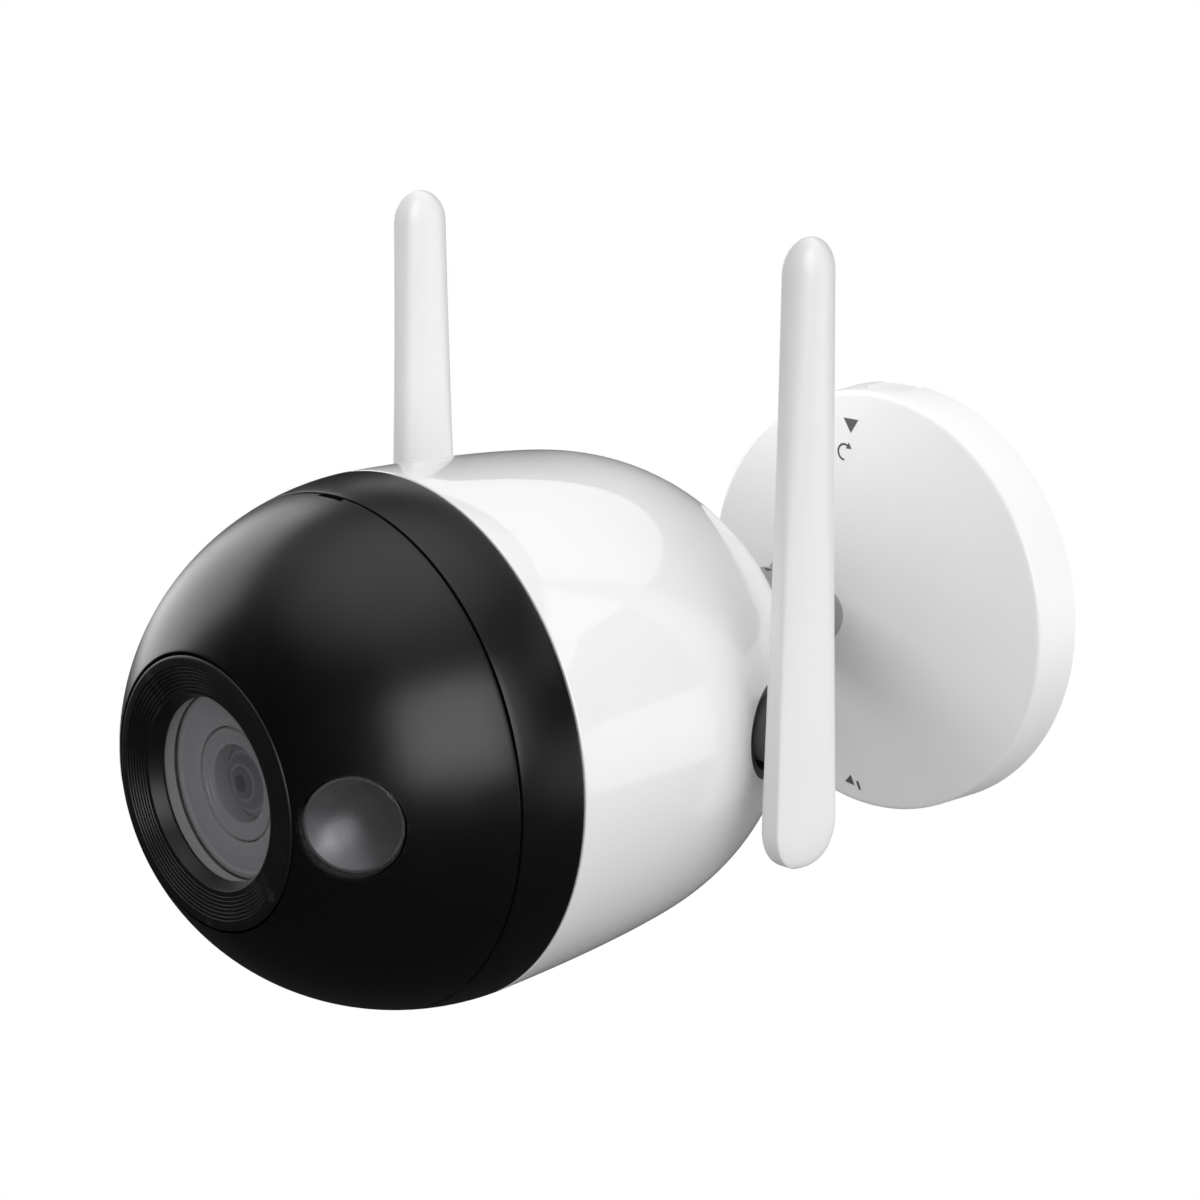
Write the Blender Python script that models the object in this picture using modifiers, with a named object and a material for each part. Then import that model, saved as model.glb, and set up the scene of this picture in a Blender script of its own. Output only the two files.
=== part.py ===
"""Wireless bullet security camera on a round wall base, with two folding antennas.

The origin is the centre of the base's wall face. +Y points into the wall, the lens looks along -Y
and +Z is up. The camera head turns on a ball whose centre lies on the Y axis, and every moving
group hangs from an empty that sits on its joint.
"""

import math

import bpy
import bmesh
from mathutils import Quaternion, Vector, geometry

MM = 0.001

# Fit between separate pieces.
GAP = 0.3 * MM

# Round base on the wall.
BASE_RADIUS_BACK = 36.1 * MM
BASE_RADIUS_FRONT = 35.75 * MM
BASE_FRONT_Y = -9.6 * MM
BASE_WALL = 2.2 * MM
PLATE_RADIUS = 31.5 * MM
PLATE_THICKNESS = 2.6 * MM
LUG_RADIUS = 33.0 * MM
LEDGE_RADIUS = 32.0 * MM
BAYONET_DEG = (30.0, 150.0, 270.0)
ARM_FOOT_X = -14.5 * MM
ARM_FOOT_RADIUS = 6.8 * MM
ARM_SCREWS = {"upper": (2.3 * MM, 3.4 * MM), "lower": (-2.3 * MM, -3.4 * MM)}

# Ball joint between the arm and the head.
BALL_CENTRE = Vector((0.0, -34.0 * MM, 0.0))
BALL_RADIUS = 7.4 * MM
STUD_RADIUS = 3.2 * MM
STUD_END_Y = -53.2 * MM
SEAT_THICKNESS = 0.8 * MM
SOCKET_OUTER_RADIUS = 10.4 * MM
SOCKET_INNER_RADIUS = 8.8 * MM
DISH_RADIUS = 10.7 * MM
SOCKET_MOUTH_DEG = 64.0

# Head: a turned egg-shaped shell that grows from the tail to the black front.
BORDER_Y = -111.9 * MM
HEAD_RADIUS = 38.8 * MM
SEAM_Y = -122.1 * MM
SHELL_WALL = 2.2 * MM
FACE_CENTRE_Y = -111.0 * MM
FACE_LENGTH = 41.0 * MM
BEZEL_RADIUS = 19.2 * MM
BEZEL_FRONT_Y = -146.6 * MM
BEZEL_BACK_Y = -139.9 * MM
APERTURE_RADIUS = 13.8 * MM
WINDOW_RADIUS = 13.3 * MM
WINDOW_FRONT_Y = -143.4 * MM
LENS_FRONT_Y = -141.0 * MM
SPOT_OFFSET_X = 25.8 * MM
SPOT_RADIUS = 6.9 * MM

# Antennas, one on each side of the head.
PIVOT_Y = -69.5 * MM
PIVOT_Z = -1.0 * MM
POCKET_RADIUS = 7.5 * MM
BARREL_RADIUS = 5.0 * MM
BLADE_INNER_X = 39.1 * MM
BLADE_OUTER_X = 43.2 * MM
BLADE_TOP_Z = 71.3 * MM
BLADE_BOTTOM_Z = -19.5 * MM
BLADE_FOOT_Y = -71.8 * MM
BLADE_FOOT_RADIUS = 6.5 * MM
BLADE_TIP_Y = -70.6 * MM
BLADE_TIP_RADIUS = 5.0 * MM

# Circuit board stack inside the head.
BOARD_TOP_Z = -12.4 * MM
BOARD_THICKNESS = 1.6 * MM
BOARD_MIDDLE_Y = -87.0 * MM

# Reset button behind the bottom cover: the middle of the end that a finger reaches.
RESET_PLACE = Vector((0.0, -91.0 * MM, -33.0 * MM))

# Turn given to a round tool about its own axis, so that its corners miss those of the shell it cuts.
TOOL_SPIN_DEG = 4.0

ROUND = 36
MEDIUM = 24
SMALL = 12

COLOURS = {
    "white_gloss": ((0.86, 0.86, 0.86), 0.22, 0.0),
    "white_satin": ((0.84, 0.84, 0.84), 0.42, 0.0),
    "black_satin": ((0.012, 0.012, 0.013), 0.36, 0.0),
    "grey_plastic": ((0.20, 0.20, 0.21), 0.45, 0.0),
    "dark_plastic": ((0.03, 0.03, 0.032), 0.5, 0.0),
    "glass": ((0.25, 0.26, 0.27), 0.05, 0.0),
    "frosted_lens": ((0.32, 0.32, 0.33), 0.25, 0.0),
    "rubber": ((0.02, 0.02, 0.02), 0.8, 0.0),
    "steel": ((0.6, 0.6, 0.62), 0.3, 1.0),
    "aluminium": ((0.7, 0.7, 0.72), 0.35, 1.0),
    "board_green": ((0.02, 0.14, 0.06), 0.5, 0.0),
    "chip_black": ((0.02, 0.02, 0.022), 0.4, 0.0),
}


def clear_scene():
    for obj in list(bpy.data.objects):
        bpy.data.objects.remove(obj)


def make_collection(name):
    collection = bpy.data.collections.new(name)
    bpy.context.scene.collection.children.link(collection)
    return collection


def make_material(name):
    colour, roughness, metallic = COLOURS[name]
    material = bpy.data.materials.new(name)
    material.use_nodes = True
    shader = material.node_tree.nodes["Principled BSDF"]
    shader.inputs["Base Color"].default_value = (*colour, 1.0)
    shader.inputs["Roughness"].default_value = roughness
    shader.inputs["Metallic"].default_value = metallic
    return material


def axis_rotation(direction, spin_deg=0.0):
    """Euler angles that turn local +Z onto a direction, after a turn about local +Z."""
    spin = Quaternion((0.0, 0.0, 1.0), math.radians(spin_deg))
    return (Vector(direction).to_track_quat("Z", "Y") @ spin).to_euler()


def place(obj, material, parent, collection):
    """Files a finished object in a collection, gives it a material and hangs it from its group."""
    for owner in list(obj.users_collection):
        owner.objects.unlink(obj)
    collection.objects.link(obj)
    if material is not None:
        obj.data.materials.clear()
        obj.data.materials.append(material)
    if parent is not None:
        bpy.context.view_layer.update()
        obj.parent = parent
        obj.matrix_parent_inverse = parent.matrix_world.inverted()
    obj.data.shade_smooth()
    obj.data.set_sharp_from_angle(angle=math.radians(35.0))
    return obj


def group_empty(name, location, parent, collection):
    empty = bpy.data.objects.new(name, None)
    empty.location = location
    collection.objects.link(empty)
    if parent is not None:
        bpy.context.view_layer.update()
        empty.parent = parent
        empty.matrix_parent_inverse = parent.matrix_world.inverted()
    return empty


def turned_mesh_object(name, outline, steps, origin, direction, spin_deg=0.0):
    """Solid of revolution. The outline holds (distance along the axis, radius) pairs, which run
    from the far end down the outer side, and back up the inner side when the piece is a ring."""
    mesh = bpy.data.meshes.new(name)
    points = [(radius, 0.0, along) for along, radius in outline]
    edges = [(i, i + 1) for i in range(len(points) - 1)]
    is_ring = min(radius for _, radius in outline) > 0.0
    if is_ring:
        edges.append((len(points) - 1, 0))
    mesh.from_pydata(points, edges, [])
    obj = bpy.data.objects.new(name, mesh)
    obj.location = origin
    obj.rotation_euler = axis_rotation(direction, spin_deg)
    bpy.context.scene.collection.objects.link(obj)
    screw = obj.modifiers.new("Turn", "SCREW")
    screw.steps = steps
    screw.render_steps = steps
    screw.use_merge_vertices = True
    screw.merge_threshold = 0.00001
    screw.use_smooth_shade = True
    return obj


def cylinder_object(name, radius, start, end, sides):
    """Plain cylinder between two points."""
    start = Vector(start)
    end = Vector(end)
    mesh = bpy.data.meshes.new(name)
    shape = bmesh.new()
    bmesh.ops.create_cone(
        shape,
        cap_ends=True,
        segments=sides,
        radius1=radius,
        radius2=radius,
        depth=(end - start).length,
    )
    shape.to_mesh(mesh)
    shape.free()
    obj = bpy.data.objects.new(name, mesh)
    obj.location = (start + end) / 2
    obj.rotation_euler = axis_rotation(end - start, TOOL_SPIN_DEG)
    bpy.context.scene.collection.objects.link(obj)
    return obj


def box_object(name, low, high, bevel=0.0):
    """Box between two corners, with its edges rounded by one bevel step."""
    low = Vector(low)
    high = Vector(high)
    mesh = bpy.data.meshes.new(name)
    shape = bmesh.new()
    bmesh.ops.create_cube(shape, size=1.0)
    bmesh.ops.scale(shape, vec=high - low, verts=shape.verts)
    shape.to_mesh(mesh)
    shape.free()
    obj = bpy.data.objects.new(name, mesh)
    obj.location = (low + high) / 2
    bpy.context.scene.collection.objects.link(obj)
    if bevel > 0.0:
        rounding = obj.modifiers.new("Round", "BEVEL")
        rounding.width = bevel
        rounding.segments = 1
    return obj


def swung_box(name, low, high, angle_deg):
    """Box drawn on the +X side of the camera's axis, then swung round that axis."""
    obj = box_object(name, low, high)
    middle = (Vector(low) + Vector(high)) / 2
    obj.location = polar(middle.x, angle_deg, middle.y)
    obj.rotation_euler = (0.0, -math.radians(angle_deg), 0.0)
    return obj


def curve_to_mesh(curve_object, name):
    """Turns a filled curve into a closed mesh at the same place."""
    bpy.context.view_layer.update()
    evaluated = curve_object.evaluated_get(bpy.context.evaluated_depsgraph_get())
    mesh = bpy.data.meshes.new_from_object(evaluated)
    shape = bmesh.new()
    shape.from_mesh(mesh)
    bmesh.ops.remove_doubles(shape, verts=shape.verts, dist=0.00001)
    bmesh.ops.recalc_face_normals(shape, faces=shape.faces)
    shape.to_mesh(mesh)
    shape.free()
    obj = bpy.data.objects.new(name, mesh)
    obj.matrix_world = curve_object.matrix_world
    bpy.context.scene.collection.objects.link(obj)
    bpy.data.objects.remove(curve_object)
    obj.name = name
    return obj


def flat_outline_object(name, outlines, thickness, centre, direction):
    """Flat plate of any outline. Further outlines inside the first are holes."""
    curve = bpy.data.curves.new(name + "_outline", "CURVE")
    curve.dimensions = "2D"
    curve.fill_mode = "BOTH"
    curve.extrude = thickness / 2
    for outline in outlines:
        spline = curve.splines.new("POLY")
        spline.points.add(len(outline) - 1)
        for point, (u, v) in zip(spline.points, outline):
            point.co = (u, v, 0.0, 1.0)
        spline.use_cyclic_u = True
    source = bpy.data.objects.new(name + "_outline", curve)
    source.location = centre
    source.rotation_euler = axis_rotation(direction)
    bpy.context.scene.collection.objects.link(source)
    return curve_to_mesh(source, name)


def tube_object(name, points, radius):
    """Round bar along a smooth line of points."""
    curve = bpy.data.curves.new(name + "_line", "CURVE")
    curve.dimensions = "3D"
    curve.bevel_depth = radius
    curve.bevel_resolution = 3
    curve.use_fill_caps = True
    spline = curve.splines.new("POLY")
    spline.points.add(len(points) - 1)
    for point, position in zip(spline.points, points):
        point.co = (*position, 1.0)
        point.tilt = math.radians(TOOL_SPIN_DEG)
    source = bpy.data.objects.new(name + "_line", curve)
    bpy.context.scene.collection.objects.link(source)
    return curve_to_mesh(source, name)


def combine(obj, tool, operation, tools):
    """Adds a Boolean with a tool that stays in the tools collection as a wire guide."""
    for owner in list(tool.users_collection):
        owner.objects.unlink(tool)
    tools.objects.link(tool)
    tool.hide_render = True
    tool.display_type = "WIRE"
    boolean = obj.modifiers.new(operation.title(), "BOOLEAN")
    boolean.operation = operation
    boolean.solver = "EXACT"
    boolean.object = tool
    return obj


def arc(centre_along, centre_radius, radius, start_deg, end_deg, steps):
    """Points on a circular arc of an outline, with angles measured from the -axis direction."""
    points = []
    for i in range(steps + 1):
        angle = math.radians(start_deg + (end_deg - start_deg) * i / steps)
        along = centre_along - radius * math.cos(angle)
        points.append((along, centre_radius + radius * math.sin(angle)))
    return points


def bezier(knots, resolution):
    """Points of one cubic stretch of an outline, from its two ends and two handles."""
    first, handle_1, handle_2, last = [Vector((a, r, 0.0)) * MM for a, r in knots]
    found = geometry.interpolate_bezier(first, handle_1, handle_2, last, resolution)
    return [(point.x, point.y) for point in found]


def shell_outline():
    """Outer line of the white shell from the tail rim to the black border."""
    tail = bezier([(-41.0, 8.7), (-55.0, 27.0), (-64.0, 34.7), (-80.0, 36.8)], 9)
    side = bezier([(-80.0, 36.8), (-89.0, 38.0), (-101.0, 38.6), (-111.9, 38.8)], 4)
    return tail + side[1:]


def face_outline(start_y, end_y, steps):
    """Outer line of the black front between two places along the axis, evenly spread in angle."""
    start = math.asin((FACE_CENTRE_Y - start_y) / FACE_LENGTH)
    end = math.asin((FACE_CENTRE_Y - end_y) / FACE_LENGTH)
    points = []
    for i in range(steps + 1):
        angle = start + (end - start) * i / steps
        points.append((FACE_CENTRE_Y - FACE_LENGTH * math.sin(angle), HEAD_RADIUS * math.cos(angle)))
    return points


def face_y(radius):
    """Where the black face's ellipsoid reaches along the axis at a distance from it."""
    return FACE_CENTRE_Y - FACE_LENGTH * math.sqrt(1.0 - (radius / HEAD_RADIUS) ** 2)


def inset(outline, distance):
    """The same line moved inwards, square to itself."""
    moved = []
    last = len(outline) - 1
    for i, (along, radius) in enumerate(outline):
        before = outline[max(i - 1, 0)]
        after = outline[min(i + 1, last)]
        run = before[0] - after[0]
        rise = after[1] - before[1]
        length = math.hypot(run, rise)
        moved.append((along - distance * rise / length, radius - distance * run / length))
    return moved


def ring(centre_y, inner, outer, thickness):
    """Outline of a flat ring, centred along the axis."""
    high = centre_y + thickness / 2
    low = centre_y - thickness / 2
    return [(high, inner), (high, outer), (low, outer), (low, inner)]


def polar(radius, angle_deg, y):
    """A point at an angle round the camera's axis, counted from +X towards +Z."""
    angle = math.radians(angle_deg)
    return Vector((radius * math.cos(angle), y, radius * math.sin(angle)))


class Camera:
    """Collects the parts, their materials and the groups that move."""

    def __init__(self):
        clear_scene()
        self.parts = make_collection("security_camera")
        self.tools = make_collection("cutters")
        self.materials = {name: make_material(name) for name in COLOURS}
        wall = group_empty("wall_group", (0, 0, 0), None, self.parts)
        cover = group_empty("cover_group", (0, 0, 0), wall, self.parts)
        head = group_empty("head_group", BALL_CENTRE, cover, self.parts)
        self.groups = {"wall": wall, "cover": cover, "head": head}
        for name in ("lock_ring", "rear_seat", "front_seat"):
            self.groups[name] = group_empty(name + "_group", BALL_CENTRE, cover, self.parts)
        for side, sign in (("left", -1), ("right", 1)):
            pivot = (sign * BLADE_INNER_X, PIVOT_Y, PIVOT_Z)
            empty = group_empty("antenna_" + side + "_group", pivot, head, self.parts)
            self.groups["antenna_" + side] = empty
        reset_button = group_empty("reset_button_group", RESET_PLACE, head, self.parts)
        self.groups["reset_button"] = reset_button

    def keep(self, obj, material, group):
        return place(obj, self.materials[material], self.groups[group], self.parts)

    def turn(self, name, outline, steps, material, group, origin=(0, 0, 0), direction=(0, 1, 0)):
        obj = turned_mesh_object(name, outline, steps, origin, direction)
        return self.keep(obj, material, group)

    def box(self, name, low, high, material, group, bevel=0.0):
        return self.keep(box_object(name, low, high, bevel), material, group)

    def rod(self, name, radius, start, end, sides, material, group):
        return self.keep(cylinder_object(name, radius, start, end, sides), material, group)

    def cut(self, obj, tool):
        return combine(obj, tool, "DIFFERENCE", self.tools)

    def join(self, obj, tool):
        return combine(obj, tool, "UNION", self.tools)

    def trim(self, obj, tool):
        return combine(obj, tool, "INTERSECT", self.tools)

    def screw(self, name, tip, head_top, radii, material, group, sides=10):
        """Screw with a round head and a cross slot, from its tip to the top of its head."""
        shank_radius, head_radius, head_height = radii
        tip = Vector(tip)
        head_top = Vector(head_top)
        length = (head_top - tip).length
        outline = [
            (length, 0.0),
            (length, head_radius * 0.7),
            (length - head_height * 0.4, head_radius),
            (length - head_height, head_radius),
            (length - head_height, shank_radius),
            (shank_radius * 0.6, shank_radius),
            (0.0, 0.0),
        ]
        return self.turn(name, outline, sides, material, group, tip, head_top - tip)


def build_base(camera):
    """Wall plate, twist-on cover, blanking plug and the screws that hold the arm."""
    plate_outline = [
        (0.0, 0.0),
        (0.0, PLATE_RADIUS),
        (-PLATE_THICKNESS, PLATE_RADIUS),
        (-PLATE_THICKNESS, 0.0),
    ]
    plate = camera.turn("mounting_plate", plate_outline, ROUND, "white_satin", "wall")
    for i, angle in enumerate(BAYONET_DEG):
        low = (PLATE_RADIUS - 3 * MM, -PLATE_THICKNESS + 0.1 * MM, -5 * MM)
        high = (LUG_RADIUS, -1.4 * MM, 5 * MM)
        camera.join(plate, swung_box(f"plate_lug_{i}", low, high, angle))
        centre = polar(22.0 * MM, angle + 60.0, 0.0)
        front = centre - Vector((0, 4 * MM, 0))
        back = centre + Vector((0, MM, 0))
        camera.cut(plate, cylinder_object(f"plate_hole_{i}", 2.1 * MM, back, front, SMALL))
    cable_hole = cylinder_object(
        "plate_cable_hole", 7.0 * MM, (13 * MM, MM, 0), (13 * MM, -4 * MM, 0), MEDIUM
    )
    camera.cut(plate, cable_hole)

    rim_inside = BASE_RADIUS_BACK - BASE_WALL - 0.2 * MM
    face_inside_y = BASE_FRONT_Y + BASE_WALL
    cover_outline = [
        (face_inside_y, 0.0),
        (face_inside_y, rim_inside),
        (-GAP, rim_inside),
        (-GAP, BASE_RADIUS_BACK),
        (-8.7 * MM, BASE_RADIUS_FRONT),
    ]
    cover_outline += arc(-8.7 * MM, BASE_RADIUS_FRONT - 0.9 * MM, 0.9 * MM, 60.0, 0.0, 2)
    cover_outline.append((BASE_FRONT_Y, 0.0))
    cover = camera.turn("base_cover", cover_outline, ROUND, "white_satin", "cover")
    for i, angle in enumerate(BAYONET_DEG):
        low = (LEDGE_RADIUS, -1.1 * MM, -8 * MM)
        high = (rim_inside + 0.9 * MM, -0.5 * MM, 8 * MM)
        camera.join(cover, swung_box(f"cover_ledge_{i}", low, high, angle))
    plug_low = (-4.4 * MM, -6.8 * MM, 33.2 * MM)
    plug_high = (3.5 * MM, -GAP, 35.7 * MM)
    slot_low = (plug_low[0] - GAP, plug_low[1] - GAP, 31.0 * MM)
    slot_high = (plug_high[0] + GAP, MM, 37.0 * MM)
    camera.cut(cover, box_object("plug_slot", slot_low, slot_high))
    camera.box("cable_plug", plug_low, plug_high, "white_satin", "cover", 0.4 * MM)
    for name, (offset_x, z) in ARM_SCREWS.items():
        x = ARM_FOOT_X + offset_x
        hole = cylinder_object(f"arm_hole_{name}", 1.5 * MM, (x, -5 * MM, z), (x, -11 * MM, z), SMALL)
        camera.cut(cover, hole)
        tip = (x, -12.6 * MM, z)
        head_top = (x, face_inside_y + GAP + 1.5 * MM, z)
        sizes = (1.15 * MM, 2.3 * MM, 1.5 * MM)
        camera.screw(f"arm_screw_{name}", tip, head_top, sizes, "steel", "cover")


def build_ball_joint(camera):
    """Cranked arm with its socket, the lock ring, two friction seats and the ball stud."""
    ball_y = BALL_CENTRE.y
    rear = arc(ball_y, 0.0, SOCKET_OUTER_RADIUS, 180.0, 91.5, 8)
    rear_inside = arc(ball_y, 0.0, SOCKET_INNER_RADIUS, 91.5, 180.0, 6)
    cup_outline = [(a, max(r, 0.0)) for a, r in rear + rear_inside]
    cup_outline[0] = (cup_outline[0][0], 0.0)
    cup_outline[-1] = (cup_outline[-1][0], 0.0)
    arm = camera.turn("socket_arm", cup_outline, MEDIUM, "grey_plastic", "cover")
    foot_top_y = BASE_FRONT_Y - GAP
    start = BALL_CENTRE + Vector((0.0, 9.3 * MM, 0.0))
    end = Vector((ARM_FOOT_X, foot_top_y - 2.2 * MM, 0.0))
    reach = 7.0 * MM
    line = geometry.interpolate_bezier(
        start, start + Vector((0.0, reach, 0.0)), end - Vector((0.0, reach, 0.0)), end, 9
    )
    camera.join(arm, tube_object("arm_bar", line, 4.8 * MM))
    foot_outline = [
        (foot_top_y, 0.0),
        (foot_top_y, ARM_FOOT_RADIUS),
        (foot_top_y - 1.8 * MM, ARM_FOOT_RADIUS),
        (foot_top_y - 2.8 * MM, ARM_FOOT_RADIUS - 1.2 * MM),
        (foot_top_y - 2.8 * MM, 0.0),
    ]
    foot_place = (ARM_FOOT_X, 0, 0)
    foot = turned_mesh_object("arm_foot", foot_outline, MEDIUM, foot_place, (0, 1, 0), 2 * TOOL_SPIN_DEG)
    camera.join(arm, foot)
    for name, (offset_x, z) in ARM_SCREWS.items():
        bore_start = (ARM_FOOT_X + offset_x, foot_top_y + MM, z)
        bore_end = (ARM_FOOT_X + offset_x, -13.4 * MM, z)
        camera.cut(arm, cylinder_object(f"foot_bore_{name}", 1.45 * MM, bore_start, bore_end, 10))

    ring_outline = arc(ball_y, 0.0, SOCKET_OUTER_RADIUS, 88.5, SOCKET_MOUTH_DEG, 3)
    ring_outline += arc(ball_y, 0.0, SOCKET_INNER_RADIUS, SOCKET_MOUTH_DEG, 88.5, 3)
    camera.turn("lock_ring", ring_outline, MEDIUM, "grey_plastic", "lock_ring")

    seat_inner = BALL_RADIUS + GAP
    seat_outer = seat_inner + SEAT_THICKNESS
    for name, near_deg, far_deg in (("front_seat", 66.0, 76.0), ("rear_seat", 106.0, 156.0)):
        steps = round((far_deg - near_deg) / 12.5)
        seat_outline = arc(ball_y, 0.0, seat_outer, far_deg, near_deg, steps)
        seat_outline += arc(ball_y, 0.0, seat_inner, near_deg, far_deg, steps)
        camera.turn(name, seat_outline, MEDIUM, "white_satin", name)

    neck_deg = math.degrees(math.asin(STUD_RADIUS / BALL_RADIUS))
    ball_outline = arc(ball_y, 0.0, BALL_RADIUS, 180.0, neck_deg, 10)
    ball_outline[0] = (ball_outline[0][0], 0.0)
    ball_outline += [
        (STUD_END_Y + 0.6 * MM, STUD_RADIUS),
        (STUD_END_Y, STUD_RADIUS - 0.6 * MM),
        (STUD_END_Y, 0.0),
    ]
    camera.turn("ball_stud", ball_outline, MEDIUM, "grey_plastic", "head")
    camera.turn("stud_washer", ring(-47.9 * MM, 3.5 * MM, 6.4 * MM, MM), SMALL, "steel", "head")
    camera.turn("stud_nut", ring(-50.2 * MM, 4.1 * MM, 6.6 * MM, 3.0 * MM), 6, "steel", "head")


def build_shells(camera):
    """White rear shell, black front ring and face, with their openings and the bottom cover."""
    outer = shell_outline()
    dish = arc(BALL_CENTRE.y, 0.0, DISH_RADIUS, 20.0, 51.0, 4)
    inner = inset(outer, SHELL_WALL)
    inner_tail = [point for point in inner if point[0] < -48.5 * MM]
    tail_wall_y = -47.1 * MM
    outline = dish + outer + [(BORDER_Y, 36.6 * MM)] + list(reversed(inner_tail[:-1]))
    outline += [(tail_wall_y, 13.0 * MM), (tail_wall_y, dish[0][1])]
    housing = camera.turn("rear_housing", outline, ROUND, "white_gloss", "head")

    for side, sign in (("left", -1), ("right", 1)):
        start = (sign * 26.0 * MM, PIVOT_Y, PIVOT_Z)
        end = (sign * 42.0 * MM, PIVOT_Y, PIVOT_Z)
        camera.cut(housing, cylinder_object(f"pocket_{side}", POCKET_RADIUS, start, end, MEDIUM))

    hatch_low = Vector((-9.0 * MM, -102.0 * MM, -42.0 * MM))
    hatch_high = Vector((9.0 * MM, -80.6 * MM, -30.0 * MM))
    camera.cut(housing, box_object("hatch_opening", hatch_low, hatch_high))
    for i in range(5):
        start = ((i - 2) * 3.2 * MM, -70.0 * MM, -38.0 * MM)
        end = ((i - 2) * 3.2 * MM, -70.0 * MM, -28.0 * MM)
        camera.cut(housing, cylinder_object(f"speaker_hole_{i}", 0.9 * MM, start, end, 8))

    inside = Vector((GAP, GAP, 0.0))
    cover_outline = outer[-6:] + list(reversed(inset(outer[-6:], SHELL_WALL)))
    hatch = camera.turn("service_cover", cover_outline, ROUND, "white_gloss", "head")
    camera.trim(hatch, box_object("hatch_trim", hatch_low + inside, hatch_high - inside))
    rim_low = (-8.2 * MM, -101.2 * MM, -33.0 * MM)
    rim_high = (8.2 * MM, -81.4 * MM, -32.1 * MM)
    gasket = camera.box("service_gasket", rim_low, rim_high, "rubber", "head")
    window_low = (-5.4 * MM, -95.0 * MM, -36.0 * MM)
    window_high = (5.4 * MM, -87.0 * MM, -32.0 * MM)
    camera.cut(gasket, box_object("gasket_window", window_low, window_high))
    for name, y in (("front", -98.6 * MM), ("rear", -84.0 * MM)):
        seat = [
            (-32.0 * MM, 0.0),
            (-32.0 * MM, 1.4 * MM),
            (-36.9 * MM, 1.4 * MM),
            (-36.9 * MM, 2.5 * MM),
            (-42.0 * MM, 2.5 * MM),
            (-42.0 * MM, 0.0),
        ]
        seat_tool = turned_mesh_object(
            f"service_seat_{name}", seat, 10, (0, y, 0), (0, 0, 1), TOOL_SPIN_DEG
        )
        camera.cut(hatch, seat_tool)
        hole = cylinder_object(f"service_hole_{name}", 1.4 * MM, (0, y, -40 * MM), (0, y, -32 * MM), 10)
        camera.cut(gasket, hole)
        sizes = (1.1 * MM, 2.1 * MM, 1.2 * MM)
        tip = (0, y, -31.0 * MM)
        camera.screw(f"service_screw_{name}", tip, (0, y, -38.4 * MM), sizes, "steel", "head")

    band_top = BORDER_Y - GAP
    collar = 36.25 * MM
    groove = 35.2 * MM
    band_outline = [
        (-105.5 * MM, 34.2 * MM),
        (-105.5 * MM, collar),
        (-107.8 * MM, collar),
        (-107.8 * MM, groove),
        (-109.6 * MM, groove),
        (-109.6 * MM, collar),
        (band_top, collar),
    ]
    band_outline += face_outline(band_top, SEAM_Y + 0.1 * MM, 3)
    band_outline += [(SEAM_Y + 0.1 * MM, 34.2 * MM)]
    camera.turn("front_ring", band_outline, ROUND, "black_satin", "head")
    seal = arc(-108.7 * MM, 35.88 * MM, 0.38 * MM, 180.0, -180.0, 8)[:-1]
    camera.turn("front_seal", seal, MEDIUM, "rubber", "head")

    face_front_y = face_y(BEZEL_RADIUS + GAP)
    face_outer = face_outline(SEAM_Y - 0.2 * MM, face_front_y, 7)
    face_inner = inset(face_outer, 2.0 * MM)
    face_inner[0] = (SEAM_Y - 0.2 * MM, face_outer[0][1] - 2.0 * MM)
    face_inner[-1] = (face_outer[-1][0] + 2.4 * MM, face_outer[-1][1])
    outline = face_outer + list(reversed(face_inner))
    face = camera.turn("face_cap", outline, ROUND, "black_satin", "head")
    slit_low = (-2.5 * MM, SEAM_Y - 0.9 * MM, 35.0 * MM)
    slit_high = (2.5 * MM, SEAM_Y + 0.5 * MM, 40.0 * MM)
    camera.cut(face, box_object("microphone_slit", slit_low, slit_high))
    for side, sign in (("left", -1), ("right", 1)):
        build_spotlight(camera, face, side, sign)


def build_spotlight(camera, face, side, sign):
    """Round light in the face, square to the face's own surface."""
    centre = Vector((sign * SPOT_OFFSET_X, face_y(SPOT_OFFSET_X), 0.0))
    depth = FACE_CENTRE_Y - centre.y
    outward = Vector((centre.x / HEAD_RADIUS**2, -depth / FACE_LENGTH**2, 0.0)).normalized()
    reach = outward * 5 * MM
    hole = cylinder_object(
        f"spot_hole_{side}", SPOT_RADIUS + GAP, centre - reach, centre + reach, MEDIUM
    )
    camera.cut(face, hole)
    lens_outline = [
        (0.0, 0.0),
        (-0.15 * MM, SPOT_RADIUS * 0.5),
        (-0.6 * MM, SPOT_RADIUS),
        (-1.8 * MM, SPOT_RADIUS),
        (-1.8 * MM, 0.0),
    ]
    camera.turn(f"spotlight_lens_{side}", lens_outline, MEDIUM, "frosted_lens", "head", centre, outward)
    reflector = [
        (-2.1 * MM, 5.2 * MM),
        (-2.1 * MM, 6.0 * MM),
        (-5.7 * MM, 3.2 * MM),
        (-5.7 * MM, 2.2 * MM),
    ]
    camera.turn(f"spotlight_reflector_{side}", reflector, SMALL, "aluminium", "head", centre, outward)
    board = [(-6.0 * MM, 0.0), (-6.0 * MM, 3.6 * MM), (-6.8 * MM, 3.6 * MM), (-6.8 * MM, 0.0)]
    camera.turn(f"led_board_{side}", board, SMALL, "board_green", "head", centre, outward)


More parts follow.
